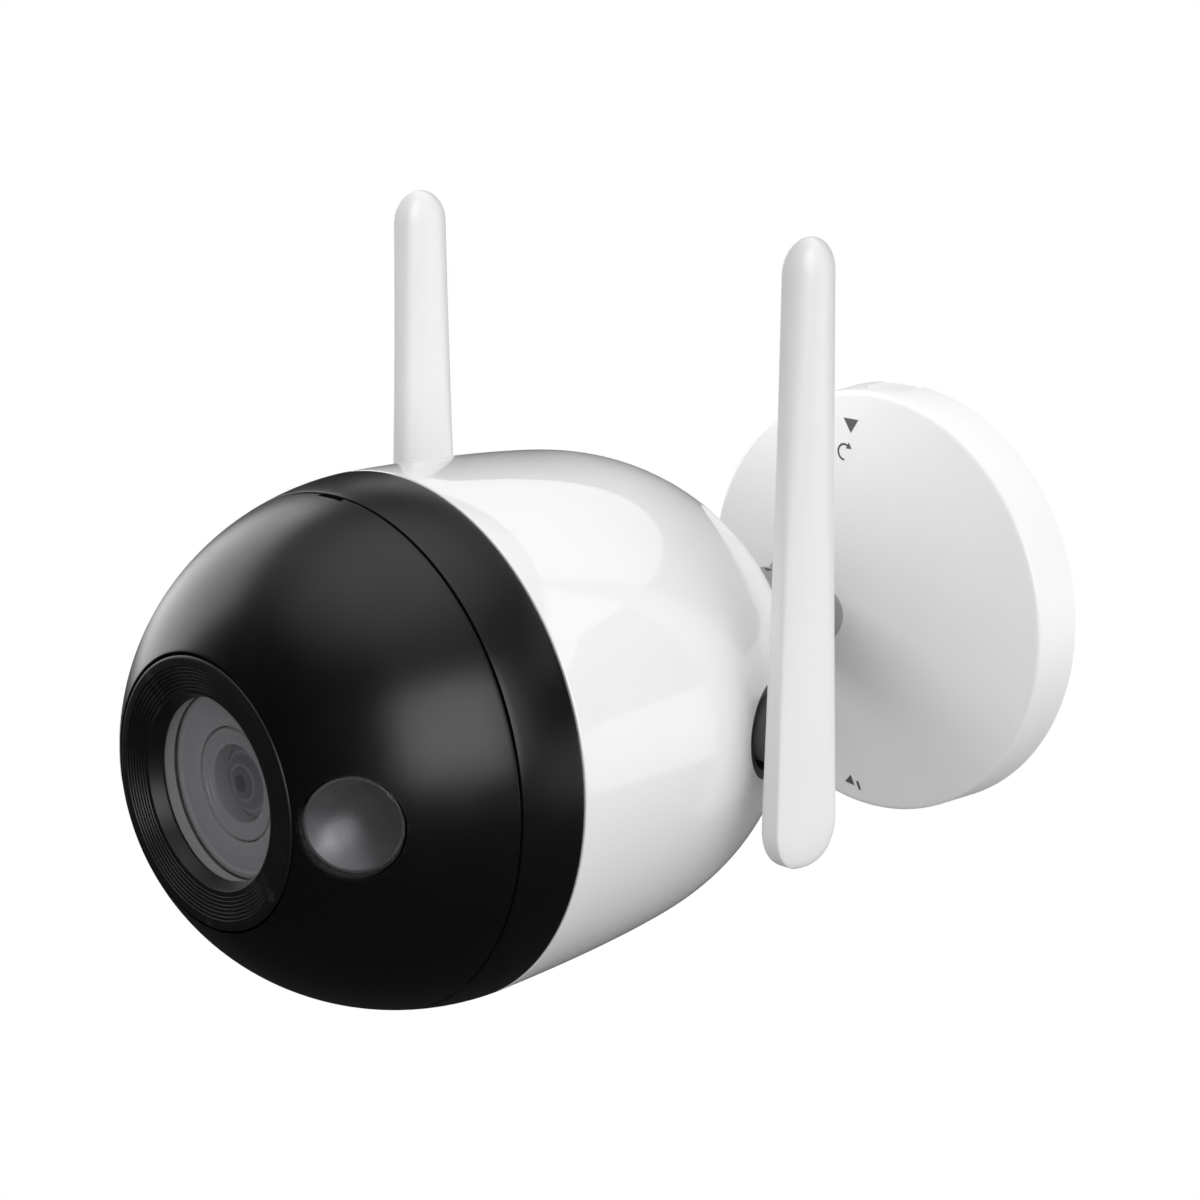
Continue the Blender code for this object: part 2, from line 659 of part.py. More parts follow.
def build_lens(camera):
    """Stepped bezel, window, and the lens with its sensor behind."""
    lip_y = WINDOW_FRONT_Y - GAP
    lip_radius = WINDOW_RADIUS - 0.4 * MM
    outline = [
        (BEZEL_BACK_Y, BEZEL_RADIUS),
        (BEZEL_FRONT_Y + 0.6 * MM, BEZEL_RADIUS),
        (BEZEL_FRONT_Y, BEZEL_RADIUS - 0.6 * MM),
    ]
    steps = 4
    first_step = BEZEL_RADIUS - 1.5 * MM
    tread = (first_step - APERTURE_RADIUS - 0.2 * MM) / steps
    rise = 0.22 * MM
    for i in range(steps):
        radius = first_step - i * tread
        y = BEZEL_FRONT_Y + i * rise
        outline += [(y, radius), (y + rise, radius)]
    outline += [
        (BEZEL_FRONT_Y + steps * rise, APERTURE_RADIUS),
        (lip_y - 0.25 * MM, lip_radius),
        (lip_y, lip_radius),
        (lip_y, WINDOW_RADIUS + GAP),
        (BEZEL_BACK_Y, WINDOW_RADIUS + GAP),
    ]
    camera.turn("bezel_ring", outline, ROUND, "black_satin", "head")

    window_back = WINDOW_FRONT_Y + 1.8 * MM
    window = [
        (window_back, 0.0),
        (window_back, WINDOW_RADIUS),
        (WINDOW_FRONT_Y, WINDOW_RADIUS),
        (WINDOW_FRONT_Y, 0.0),
    ]
    camera.turn("lens_window", window, ROUND, "glass", "head")
    camera.turn("window_gasket", ring(-140.8 * MM, 11.6 * MM, WINDOW_RADIUS, MM), MEDIUM, "rubber", "head")

    barrel = [
        (-121.0 * MM, 3.4 * MM),
        (-121.0 * MM, 6.0 * MM),
        (-136.0 * MM, 6.0 * MM),
        (-136.0 * MM, 7.6 * MM),
        (LENS_FRONT_Y + 0.5 * MM, 8.0 * MM),
        (LENS_FRONT_Y, 7.6 * MM),
        (LENS_FRONT_Y, 6.6 * MM),
        (-139.4 * MM, 5.5 * MM),
        (-136.6 * MM, 5.5 * MM),
        (-136.6 * MM, 3.4 * MM),
    ]
    camera.turn("lens_barrel", barrel, MEDIUM, "dark_plastic", "head")
    element = [(-136.9 * MM, 0.0), (-136.9 * MM, 5.2 * MM), (-138.7 * MM, 5.2 * MM)]
    element += [(-139.6 * MM, 3.6 * MM), (-140.1 * MM, 1.8 * MM), (-140.3 * MM, 0.0)]
    camera.turn("lens_element", element, MEDIUM, "glass", "head")

    low = Vector((-9.0 * MM, -130.0 * MM, -9.0 * MM))
    high = Vector((9.0 * MM, -118.2 * MM, 9.0 * MM))
    holder = camera.box("lens_holder", low, high, "dark_plastic", "head", 0.8 * MM)
    bore_end = (0, -120.6 * MM, 0)
    camera.cut(holder, cylinder_object("holder_bore", 6.3 * MM, (0, -132 * MM, 0), bore_end, MEDIUM))
    room_low = (-5.2 * MM, -121.6 * MM, -4.2 * MM)
    room_high = (5.2 * MM, -117.0 * MM, 4.2 * MM)
    camera.cut(holder, box_object("sensor_room", room_low, room_high))
    low = (-4.0 * MM, -119.2 * MM, -3.0 * MM)
    high = (4.0 * MM, -118.0 * MM, 3.0 * MM)
    camera.box("image_sensor", low, high, "chip_black", "head")
    corner = 9.0 * MM
    half = 22.0 * MM
    octagon = []
    for sx, sy in ((1, 1), (-1, 1), (-1, -1), (1, -1)):
        first = (sx * half, sy * (half - corner))
        second = (sx * (half - corner), sy * half)
        octagon += [first, second] if sx * sy > 0 else [second, first]
    board = flat_outline_object("sensor_board", [octagon], 1.4 * MM, (0, -117.0 * MM, 0), (0, -1, 0))
    camera.keep(board, "board_green", "head")
    microphone = [(-119.0 * MM, 0.0), (-119.0 * MM, 2.2 * MM), (-121.2 * MM, 2.2 * MM), (-121.2 * MM, 0.0)]
    camera.turn("microphone", microphone, SMALL, "steel", "head", (0, 0, 30.6 * MM))


def build_electronics(camera):
    """Main board on its chassis, with the parts that it carries."""
    board_low_z = BOARD_TOP_Z - BOARD_THICKNESS
    half_width = 19.0 * MM
    half_length = 20.0 * MM
    low = Vector((-half_width, BOARD_MIDDLE_Y - half_length, board_low_z))
    high = Vector((half_width, BOARD_MIDDLE_Y + half_length, BOARD_TOP_Z))
    board = camera.box("main_board", low, high, "board_green", "head")
    chassis_low_z = BOARD_TOP_Z + GAP
    chassis_top_z = chassis_low_z + 1.5 * MM
    window = 14.0 * MM
    corners = ((-1, -1), (1, -1), (1, 1), (-1, 1))
    outer = [(sx * half_width, sy * half_length) for sx, sy in corners]
    inner = [(sx * window, sy * window) for sx, sy in corners]
    centre = (0.0, BOARD_MIDDLE_Y, (chassis_low_z + chassis_top_z) / 2)
    chassis = flat_outline_object("chassis", [outer, inner], 1.5 * MM, centre, (0, 0, 1))
    camera.keep(chassis, "aluminium", "head")
    for i, (sx, sy) in enumerate(corners, start=1):
        x = sx * 16.5 * MM
        y = BOARD_MIDDLE_Y + sy * 17.0 * MM
        hole = cylinder_object(f"board_hole_{i}", 1.3 * MM, (x, y, -20 * MM), (x, y, -5 * MM), 10)
        camera.cut(board, hole)
        camera.cut(chassis, hole)
        top_z = chassis_top_z + GAP + 1.1 * MM
        sizes = (0.95 * MM, 1.8 * MM, 1.1 * MM)
        tip = (x, y, board_low_z - 0.8 * MM)
        camera.screw(f"board_screw_{i}", tip, (x, y, top_z), sizes, "steel", "head", 8)

    chip_z = BOARD_TOP_Z + GAP
    chip_low = Vector((-6.5 * MM, BOARD_MIDDLE_Y - 11 * MM, chip_z))
    chip_high = Vector((6.5 * MM, BOARD_MIDDLE_Y + 2 * MM, chip_z + 1.4 * MM))
    camera.box("processor_chip", chip_low, chip_high, "chip_black", "head")
    sink_z = chip_high.z + GAP
    sink_low = Vector((chip_low.x - 2 * MM, chip_low.y - 2 * MM, sink_z))
    sink_high = Vector((chip_high.x + 2 * MM, chip_high.y + 2 * MM, sink_z + 6 * MM))
    sink = camera.box("heat_sink", sink_low, sink_high, "aluminium", "head")
    for i in range(4):
        x = sink_low.x + (3.3 + 3.3 * i) * MM
        groove_low = (x - 0.7 * MM, sink_low.y - MM, sink_z + 1.6 * MM)
        groove_high = (x + 0.7 * MM, sink_high.y + MM, sink_high.z + MM)
        camera.cut(sink, box_object(f"sink_groove_{i}", groove_low, groove_high))
    wifi_low = (-7 * MM, BOARD_MIDDLE_Y + 5.5 * MM, chip_z)
    wifi_high = (7 * MM, BOARD_MIDDLE_Y + 13.0 * MM, chip_z + 2.4 * MM)
    camera.box("wifi_module", wifi_low, wifi_high, "steel", "head", 0.3 * MM)
    under = board_low_z - GAP
    low = (-7.5 * MM, -108.0 * MM, under - 2.4 * MM)
    high = (7.5 * MM, -95.4 * MM, under)
    camera.box("card_socket", low, high, "steel", "head")
    low = (-3.0 * MM, RESET_PLACE.y - 3.0 * MM, under - 4.6 * MM)
    high = (3.0 * MM, RESET_PLACE.y + 3.0 * MM, under)
    switch = camera.box("reset_switch", low, high, "chip_black", "head")
    bore_low = RESET_PLACE + Vector((0, 0, 12.0 * MM))
    bore_high = RESET_PLACE + Vector((0, 0, 17.0 * MM))
    camera.cut(switch, cylinder_object("switch_bore", 1.7 * MM, bore_low, bore_high, SMALL))
    button = [
        (16.1 * MM, 0.0),
        (16.1 * MM, 1.4 * MM),
        (2.0 * MM, 1.4 * MM),
        (2.0 * MM, 2.2 * MM),
        (0.0, 2.2 * MM),
        (0.0, 0.0),
    ]
    camera.turn("reset_button", button, SMALL, "dark_plastic", "reset_button", RESET_PLACE, (0, 0, 1))
    speaker = [
        (-22.0 * MM, 0.0),
        (-22.0 * MM, 6.0 * MM),
        (-24.0 * MM, 9.0 * MM),
        (-27.0 * MM, 9.0 * MM),
        (-27.0 * MM, 0.0),
    ]
    camera.turn("speaker", speaker, MEDIUM, "dark_plastic", "head", (0, -70.0 * MM, 0), (0, 0, 1))


def half_circle(centre_y, centre_z, radius, start_deg, steps):
    """Points on half a circle in the side view, from one side to the other."""
    points = []
    for i in range(steps + 1):
        angle = math.radians(start_deg + 180.0 * i / steps)
        points.append((centre_y + radius * math.cos(angle), centre_z + radius * math.sin(angle)))
    return points


def blade_outline():
    """Side view of an antenna blade, as y and z, with a round tip and a round foot."""
    tip = half_circle(BLADE_TIP_Y, BLADE_TOP_Z - BLADE_TIP_RADIUS, BLADE_TIP_RADIUS, 0.0, 8)
    foot = half_circle(BLADE_FOOT_Y, BLADE_BOTTOM_Z + BLADE_FOOT_RADIUS, BLADE_FOOT_RADIUS, 180.0, 8)
    return tip + foot


def build_antenna(camera, side, sign):
    """Blade, hinge barrel, the dark socket in the shell, and the washer and clip inside."""
    group = "antenna_" + side
    middle_x = sign * (BLADE_INNER_X + BLADE_OUTER_X) / 2
    thickness = BLADE_OUTER_X - BLADE_INNER_X
    blade = flat_outline_object(
        f"antenna_blade_{side}", [blade_outline()], thickness, (middle_x, 0, 0), (1, 0, 0)
    )
    rounding = blade.modifiers.new("Round", "BEVEL")
    rounding.width = 1.2 * MM
    rounding.segments = 2
    rounding.limit_method = "ANGLE"
    rounding.angle_limit = math.radians(50.0)
    camera.keep(blade, "white_satin", group)

    origin = (0, PIVOT_Y, PIVOT_Z)
    outward = (sign, 0, 0)
    barrel = [
        (38.8 * MM, 0.0),
        (38.8 * MM, BARREL_RADIUS),
        (29.2 * MM, BARREL_RADIUS),
        (28.9 * MM, BARREL_RADIUS - 0.4 * MM),
        (28.9 * MM, 2.5 * MM),
        (24.0 * MM, 2.5 * MM),
        (24.0 * MM, 0.0),
    ]
    camera.turn(f"antenna_barrel_{side}", barrel, MEDIUM, "grey_plastic", group, origin, outward)
    washer = ring(26.4 * MM, 2.8 * MM, 4.6 * MM, MM)
    camera.turn(f"antenna_washer_{side}", washer, SMALL, "steel", group, origin, outward)
    clip = ring(25.0 * MM, 2.8 * MM, 4.2 * MM, 0.8 * MM)
    camera.turn(f"antenna_clip_{side}", clip, SMALL, "steel", group, origin, outward)
    cup = [
        (40.0 * MM, 6.2 * MM),
        (40.0 * MM, POCKET_RADIUS - GAP),
        (27.2 * MM, POCKET_RADIUS - GAP),
        (27.2 * MM, 2.8 * MM),
        (28.6 * MM, 2.8 * MM),
        (28.6 * MM, 6.2 * MM),
    ]
    socket = camera.turn(f"antenna_socket_{side}", cup, MEDIUM, "dark_plastic", "head", origin, outward)
    body = inset(shell_outline(), 0.5 * MM)
    body_outline = [(body[0][0], 0.0)] + body + [(body[-1][0], 0.0)]
    guide = turned_mesh_object(
        f"socket_guide_{side}", body_outline, ROUND, (0, 0, 0), (0, 1, 0), TOOL_SPIN_DEG
    )
    camera.trim(socket, guide)


def main():
    camera = Camera()
    build_base(camera)
    build_ball_joint(camera)
    build_shells(camera)
    build_lens(camera)
    build_electronics(camera)
    for side, sign in (("left", -1), ("right", 1)):
        build_antenna(camera, side, sign)


main()
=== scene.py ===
import math

import bmesh
import bpy
from mathutils import Matrix, Vector, geometry
from mathutils.bvhtree import BVHTree


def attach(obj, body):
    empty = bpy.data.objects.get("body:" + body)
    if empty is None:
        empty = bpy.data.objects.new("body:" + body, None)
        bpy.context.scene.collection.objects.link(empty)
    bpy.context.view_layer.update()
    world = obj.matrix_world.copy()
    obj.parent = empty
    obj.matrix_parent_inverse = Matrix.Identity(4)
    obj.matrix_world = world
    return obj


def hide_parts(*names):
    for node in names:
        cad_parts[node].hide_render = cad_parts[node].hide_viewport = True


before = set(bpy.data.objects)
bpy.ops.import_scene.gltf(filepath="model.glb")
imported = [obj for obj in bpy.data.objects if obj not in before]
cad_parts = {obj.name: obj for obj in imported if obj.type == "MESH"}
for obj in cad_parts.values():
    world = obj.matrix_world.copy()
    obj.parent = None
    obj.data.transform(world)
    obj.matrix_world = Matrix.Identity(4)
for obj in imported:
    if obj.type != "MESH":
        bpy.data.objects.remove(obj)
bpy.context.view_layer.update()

MM = 0.001

# Lengths are in millimetres unless a comment says otherwise. The wall is at y = 0, and the lens looks to -Y.
AXIS = (0, 1, 0)
GAP = 0.3

BASE_RADIUS_BACK = 36.1
BASE_RADIUS_FRONT = 35.75
BASE_FRONT_Y = -9.6
BASE_WALL = 2.2
PLATE_RADIUS = 31.5
PLATE_THICKNESS = 2.6
LUG_RADIUS = 33.0
LEDGE_RADIUS = 32.0
BAYONET_DEG = (30.0, 150.0, 270.0)
PLATE_SCREWS_RADIUS = 22.0
CABLE_HOLE_X = 13.0
CABLE_HOLE_RADIUS = 7.0
ARM_FOOT_X = -15.3
ARM_FOOT_RADIUS = 6.0
ARM_FOOT_HEIGHT = 2.4
ARM_BAR_RADIUS = 4.8
ARM_SCREW_X = -14.5
ARM_SCREW_OFFSETS = ((2.3, 3.4), (-2.3, -3.4))

BALL_Y = -34.0
BALL_RADIUS = 7.4
STUD_RADIUS = 3.2
STUD_END_Y = -53.2
SOCKET_OUTER_RADIUS = 10.4
SOCKET_INNER_RADIUS = 8.8
SOCKET_NECK_RADIUS = 9.5
SOCKET_NECK_LENGTH = 1.6
SOCKET_MOUTH_DEG = 64.0
LOCK_RING_RIDGES = 24
LOCK_RING_RIDGE_HEIGHT = 0.35
DISH_RADIUS = 10.7

BORDER_Y = -111.9
HEAD_RADIUS = 38.8
SEAM_Y = -122.1
SHELL_WALL = 2.2
SHELL_BEND = (-80.0, 36.8)
HATCH_X = 9.0
HATCH_FRONT_Y = -102.0
HATCH_REAR_Y = -80.6
HATCH_TOOL_Z = (-42.0, -30.0)
HATCH_SCREWS_Y = (("front", -98.6), ("rear", -84.0))
SPEAKER_HOLES = 5
SPEAKER_PITCH = 3.2
SPEAKER_Y = -70.0
RING_INNER_RADIUS = 34.2
RING_COLLAR_RADIUS = 36.25
FACE_WALL = 2.0
FACE_CENTRE_Y = -111.0
FACE_LENGTH = 41.0
BEZEL_RADIUS = 19.2
BEZEL_FRONT_Y = -146.6
BEZEL_BACK_Y = -139.9
APERTURE_RADIUS = 13.8
WINDOW_RADIUS = 13.3
WINDOW_FRONT_Y = -143.4
WINDOW_THICKNESS = 1.8
BEZEL_RIDGES = 7
BEZEL_RISE = 0.12
LENS_FRONT_Y = -141.0
LENS_GLASS_Y = -140.3
LENS_GLASS_RADIUS = 5.2
SPOT_OFFSET_X = 25.8
SPOT_RADIUS = 6.9
SPOT_DOME = 0.55
BOWL_BACK = -5.4
BOWL_DEPTH = 3.3
BOWL_RADIUS = 6.3

PIVOT_Y = -69.5
PIVOT_Z = -1.0
POCKET_RADIUS = 7.5
BARREL_RADIUS = 5.0
BLADE_INNER_X = 39.1
BLADE_OUTER_X = 43.2
BLADE_TOP_Z = 71.3
BLADE_BOTTOM_Z = -19.5
BLADE_FOOT_Y = -71.8
BLADE_FOOT_RADIUS = 6.5
BLADE_TIP_Y = -70.6
BLADE_TIP_RADIUS = 5.0
BLADE_SOFT_POWER = 2.3
BLADE_FULLNESS = 1.6

MARK_THICKNESS = 0.06
MARK_SINK = 0.01

SIDES = (("left", -1), ("right", 1))

CAMERA_PLACE = (0.2983, -0.3574, 0.1235)  # metres
CAMERA_BACK = (0.6975, -0.6680, 0.2594)
CAMERA_UP = (-0.1784, 0.1887, 0.9657)
FOCAL_LENGTH = 84.52
SENSOR_WIDTH = 36.0

# How much the world's fill for dull surfaces changes along each axis.
WORLD_SLOPES = (("X", -1.05, 1.05), ("Y", -0.2, 0.2), ("Z", -1.3, 0.0))
FLOOR_HALF = 6.0  # metres
FLOOR_Z = -0.6  # metres
FLOOR_FILL = 0.42
FLOOR_MIRRORED = 0.03

BODY_MIDDLE = (0.0, -90.0, 10.0)
DISC_TOP = (-6.0, -9.6, 12.0)
# Azimuth and elevation in degrees, distance, width and height in metres, power in watts, whether it lights
# dull surfaces, whether glossy ones mirror it, and the place that it faces.
LIGHTS = {
    "softbox_right": (76.0, 18.0, 1.0, 0.8, 0.7, 8.8, False, True, BODY_MIDDLE),
    "softbox_left": (-88.0, 18.0, 1.1, 0.95, 1.0, 8.5, False, True, BODY_MIDDLE),
    "strip_back_top": (180.0, 43.0, 1.0, 2.4, 0.24, 2.6, False, True, BODY_MIDDLE),
    "card_back_right": (150.0, -8.0, 1.0, 1.8, 0.4, 2.4, False, True, BODY_MIDDLE),
    "fill_left": (-58.0, 44.0, 0.38, 0.12, 0.12, 0.4, True, False, BODY_MIDDLE),
    "fill_base": (-30.0, 52.0, 0.06, 0.05, 0.02, 0.013, True, False, DISC_TOP),
}


# ---------------------------------------------------------------- outlines

def filleted(corners, steps=4):
    """Rounds the corners of an outline. Each corner is (along, radius, size of its rounding)."""
    points = []
    count = len(corners)
    for i, (along, radius, size) in enumerate(corners):
        here = Vector((along, radius))
        before = Vector(corners[i - 1][:2]) - here
        after = Vector(corners[(i + 1) % count][:2]) - here
        if size <= 0.0 or before.length == 0.0 or after.length == 0.0:
            points.append((along, radius))
            continue
        half = max(before.angle(after) / 2, 0.05)
        reach = min(size / math.tan(half), 0.48 * min(before.length, after.length))
        start = here + before.normalized() * reach
        end = here + after.normalized() * reach
        for k in range(steps + 1):
            t = k / steps
            point = start * (1 - t) ** 2 + here * (2 * t * (1 - t)) + end * t**2
            points.append((point.x, point.y))
    return points


def arc(centre, radius, start_deg, end_deg, steps):
    """Points of a circular arc round a place on the axis, with angles from the -axis direction."""
    points = []
    for i in range(steps + 1):
        angle = math.radians(start_deg + (end_deg - start_deg) * i / steps)
        points.append((centre - radius * math.cos(angle), max(radius * math.sin(angle), 0.0)))
    return points


def bezier(knots, resolution):
    found = geometry.interpolate_bezier(*[Vector((a, r, 0.0)) for a, r in knots], resolution)
    return [(point.x, point.y) for point in found]


def shell_outline():
    """Outer line of the white shell from the tail rim to the black border."""
    tail = bezier([(-41.0, 8.7), (-55.0, 27.0), (-64.0, 34.7), SHELL_BEND], 34)
    side = bezier([SHELL_BEND, (-89.0, 38.0), (-101.0, 38.6), (BORDER_Y, HEAD_RADIUS)], 14)
    return tail + side[1:]


def face_y(radius):
    """Where the black face's ellipsoid reaches along the axis at a distance from it."""
    return FACE_CENTRE_Y - FACE_LENGTH * math.sqrt(1.0 - (radius / HEAD_RADIUS) ** 2)


def face_outline(start_y, end_y, steps):
    """Outer line of the black face between two places on the axis."""
    start = math.asin((FACE_CENTRE_Y - start_y) / FACE_LENGTH)
    end = math.asin((FACE_CENTRE_Y - end_y) / FACE_LENGTH)
    points = []
    for i in range(steps + 1):
        angle = start + (end - start) * i / steps
        points.append((FACE_CENTRE_Y - FACE_LENGTH * math.sin(angle), HEAD_RADIUS * math.cos(angle)))
    return points


def inset(outline, distance):
    """The same line moved inwards, square to itself."""
    moved = []
    last = len(outline) - 1
    for i, (along, radius) in enumerate(outline):
        before = outline[max(i - 1, 0)]
        after = outline[min(i + 1, last)]
        run = before[0] - after[0]
        rise = after[1] - before[1]
        length = math.hypot(run, rise)
        moved.append((along - distance * rise / length, radius - distance * run / length))
    return moved


# ---------------------------------------------------------------- meshes

def axis_matrix(origin, direction):
    turn = Vector(direction).to_track_quat("Z", "Y").to_matrix().to_4x4()
    return Matrix.Translation(Vector(origin) * MM) @ turn


def new_object(name, data):
    obj = bpy.data.objects.new(name, data)
    bpy.context.scene.collection.objects.link(obj)
    return obj


def object_of(name, shape):
    """Turns a bmesh, which is used up, into an object with its normals outwards."""
    bmesh.ops.recalc_face_normals(shape, faces=shape.faces)
    mesh = bpy.data.meshes.new(name)
    shape.to_mesh(mesh)
    shape.free()
    return new_object(name, mesh)


def skin(shape, rings):
    """Joins rings of vertices with faces and closes both ends."""
    count = len(rings[0])
    for first, second in zip(rings, rings[1:]):
        for k in range(count):
            n = (k + 1) % count
            shape.faces.new((first[k], first[n], second[n], second[k]))
    shape.faces.new(rings[0])
    shape.faces.new(rings[-1][::-1])


def lathe(name, outline, steps=160, origin=(0, 0, 0), direction=AXIS, ripple=None):
    """Solid of revolution of a closed outline. A ripple may move each point: (angle, along, radius) to
    a new radius."""
    shape = bmesh.new()
    rings = []
    for along, radius in outline:
        if radius < 1e-6:
            rings.append([shape.verts.new((0.0, 0.0, along * MM))])
            continue
        row = []
        for k in range(steps):
            angle = 2 * math.pi * k / steps
            r = ripple(angle, along, radius) if ripple else radius
            row.append(shape.verts.new((r * MM * math.cos(angle), r * MM * math.sin(angle), along * MM)))
        rings.append(row)
    for i, row in enumerate(rings):
        after = rings[(i + 1) % len(rings)]
        if len(row) == 1 and len(after) == 1:
            continue
        for k in range(steps):
            n = (k + 1) % steps
            near = row[:1] if len(row) == 1 else [row[k], row[n]]
            far = after[:1] if len(after) == 1 else [after[n], after[k]]
            shape.faces.new(near + far)
    shape.transform(axis_matrix(origin, direction))
    return object_of(name, shape)


def box(name, low, high, rounding=0.0, steps=3, edges="all"):
    """Box between two corners. Its rounding can be kept to the edges along one axis."""
    low = Vector(low) * MM
    high = Vector(high) * MM
    shape = bmesh.new()
    bmesh.ops.create_cube(shape, size=1.0)
    bmesh.ops.scale(shape, vec=high - low, verts=shape.verts)
    bmesh.ops.translate(shape, vec=(low + high) / 2, verts=shape.verts)
    if rounding > 0.0:
        chosen = list(shape.edges)
        if edges != "all":
            index = "xyz".index(edges)
            chosen = []
            for edge in shape.edges:
                span = edge.verts[0].co - edge.verts[1].co
                if abs(span[index]) > 0.9 * span.length:
                    chosen.append(edge)
        bmesh.ops.bevel(
            shape, geom=chosen, offset=rounding * MM, segments=steps, affect="EDGES", profile=0.5
        )
    return object_of(name, shape)


def rod(name, radius, start, end, sides=48):
    start = Vector(start)
    end = Vector(end)
    length = (end - start).length
    outline = [(0.0, 0.0), (0.0, radius), (length, radius), (length, 0.0)]
    return lathe(name, outline, sides, start, end - start)


def bake_modifiers(obj):
    """Replaces an object's mesh with what its modifiers make of it."""
    bpy.context.view_layer.update()
    evaluated = obj.evaluated_get(bpy.context.evaluated_depsgraph_get())
    mesh = bpy.data.meshes.new_from_object(evaluated)
    obj.modifiers.clear()
    obj.data = mesh


def boolean(obj, tools, operation="DIFFERENCE"):
    """Cuts or joins tools, which are used up, and also returns a lookup of the uncut surface's normals."""
    lookup = surface_normals(obj)
    for tool in tools:
        step = obj.modifiers.new("Boolean", "BOOLEAN")
        step.operation = operation
        step.solver = "EXACT"
        step.use_self = operation == "UNION"
        step.object = tool
    bake_modifiers(obj)
    for tool in tools:
        bpy.data.objects.remove(tool)
    return obj, lookup


def surface_normals(obj):
    """A lookup of the smooth normals of a mesh as it is now."""
    shape = bmesh.new()
    shape.from_mesh(obj.data)
    shape.normal_update()
    tree = BVHTree.FromBMesh(shape)
    shape.faces.ensure_lookup_table()
    corners = [[(v.co.copy(), v.normal.copy()) for v in face.verts] for face in shape.faces]
    shape.free()
    return tree, corners


def smooth_normal(lookup, point):
    """The looked-up surface's normal at the place nearest to a point, blended from its corners."""
    tree, corners = lookup
    near, _, index, _ = tree.find_nearest(point)
    blended = Vector((0, 0, 0))
    for place, normal in corners[index]:
        blended += normal / max((place - near).length, 1e-7)
    return blended.normalized()


def keep_smooth(obj, lookup):
    """Gives the corners that still lie on the uncut surface its normals, and leaves cut walls flat."""
    smooth(obj, 30.0, False)
    mesh = obj.data
    limit = math.cos(math.radians(20.0))
    current = [corner.vector.copy() for corner in mesh.corner_normals]
    found = {}
    for polygon in mesh.polygons:
        for loop in polygon.loop_indices:
            vertex = mesh.loops[loop].vertex_index
            if vertex not in found:
                found[vertex] = smooth_normal(lookup, mesh.vertices[vertex].co)
            if polygon.normal.dot(found[vertex]) > limit:
                current[loop] = found[vertex]
    mesh.normals_split_custom_set([tuple(normal) for normal in current])


def smooth(obj, angle_deg=32.0, weighted=True):
    """Shades smooth up to an angle between faces, with large faces kept flat where weighted."""
    obj.data.polygons.foreach_set("use_smooth", [True] * len(obj.data.polygons))
    obj.data.set_sharp_from_angle(angle=math.radians(angle_deg))
    if weighted:
        shading = obj.modifiers.new("Weighted", "WEIGHTED_NORMAL")
        shading.keep_sharp = True
        bake_modifiers(obj)
    return obj


# ---------------------------------------------------------------- materials

def principled(name, colour, roughness, metallic=0.0):
    material = bpy.data.materials.new(name)
    material.use_nodes = True
    shader = material.node_tree.nodes["Principled BSDF"]
    shader.inputs["Base Color"].default_value = (*colour, 1.0)
    shader.inputs["Roughness"].default_value = roughness
    shader.inputs["Metallic"].default_value = metallic
    return material, shader


def add(tree, kind):
    return tree.nodes.new("ShaderNode" + kind)


def own_tree(owner, output):
    """Clears the nodes of a material or world, and gives its tree and its output's surface input."""
    owner.use_nodes = True
    tree = owner.node_tree
    tree.nodes.clear()
    return tree, add(tree, output).inputs["Surface"]


def noise(tree, scale, detail=2.0, stretch=None):
    place = add(tree, "TexCoord")
    texture = add(tree, "TexNoise")
    texture.inputs["Scale"].default_value = scale
    texture.inputs["Detail"].default_value = detail
    if stretch:
        mapping = add(tree, "Mapping")
        mapping.inputs["Scale"].default_value = stretch
        tree.links.new(place.outputs["Object"], mapping.inputs["Vector"])
        tree.links.new(mapping.outputs["Vector"], texture.inputs["Vector"])
    else:
        tree.links.new(place.outputs["Object"], texture.inputs["Vector"])
    return texture.outputs["Fac"]


def spread(tree, value, low, high, start=0.3, end=0.7):
    """Maps a value that runs from start to end onto low to high."""
    node = add(tree, "MapRange")
    node.inputs["From Min"].default_value = start
    node.inputs["From Max"].default_value = end
    node.inputs["To Min"].default_value = low
    node.inputs["To Max"].default_value = high
    tree.links.new(value, node.inputs["Value"])
    return node.outputs["Result"]


def feed(tree, value, target):
    """Gives an input a constant, or links a socket to it."""
    if isinstance(value, bpy.types.NodeSocket):
        tree.links.new(value, target)
    else:
        target.default_value = value


def blend(tree, share, first, second):
    """Mixes two colours, which are constants or sockets."""
    node = add(tree, "Mix")
    node.data_type = "RGBA"
    for socket, value in ((6, first), (7, second)):
        feed(tree, value if isinstance(value, bpy.types.NodeSocket) else (*value, 1.0), node.inputs[socket])
    tree.links.new(share, node.inputs[0])
    return node.outputs[2]


def choose(tree, test, no, yes):
    """One of two values, which are numbers or sockets, by a test that is 0 or 1."""
    node = add(tree, "Mix")
    node.data_type = "FLOAT"
    tree.links.new(test, node.inputs[0])
    feed(tree, no, node.inputs[2])
    feed(tree, yes, node.inputs[3])
    return node.outputs[0]


def by_ray(tree, matt, mirrored):
    """One value for dull surfaces, another for what glossy ones mirror, and 1 to the eye."""
    path = add(tree, "LightPath")
    strength = choose(tree, path.outputs["Is Glossy Ray"], matt, mirrored)
    return choose(tree, path.outputs["Is Camera Ray"], strength, 1.0)


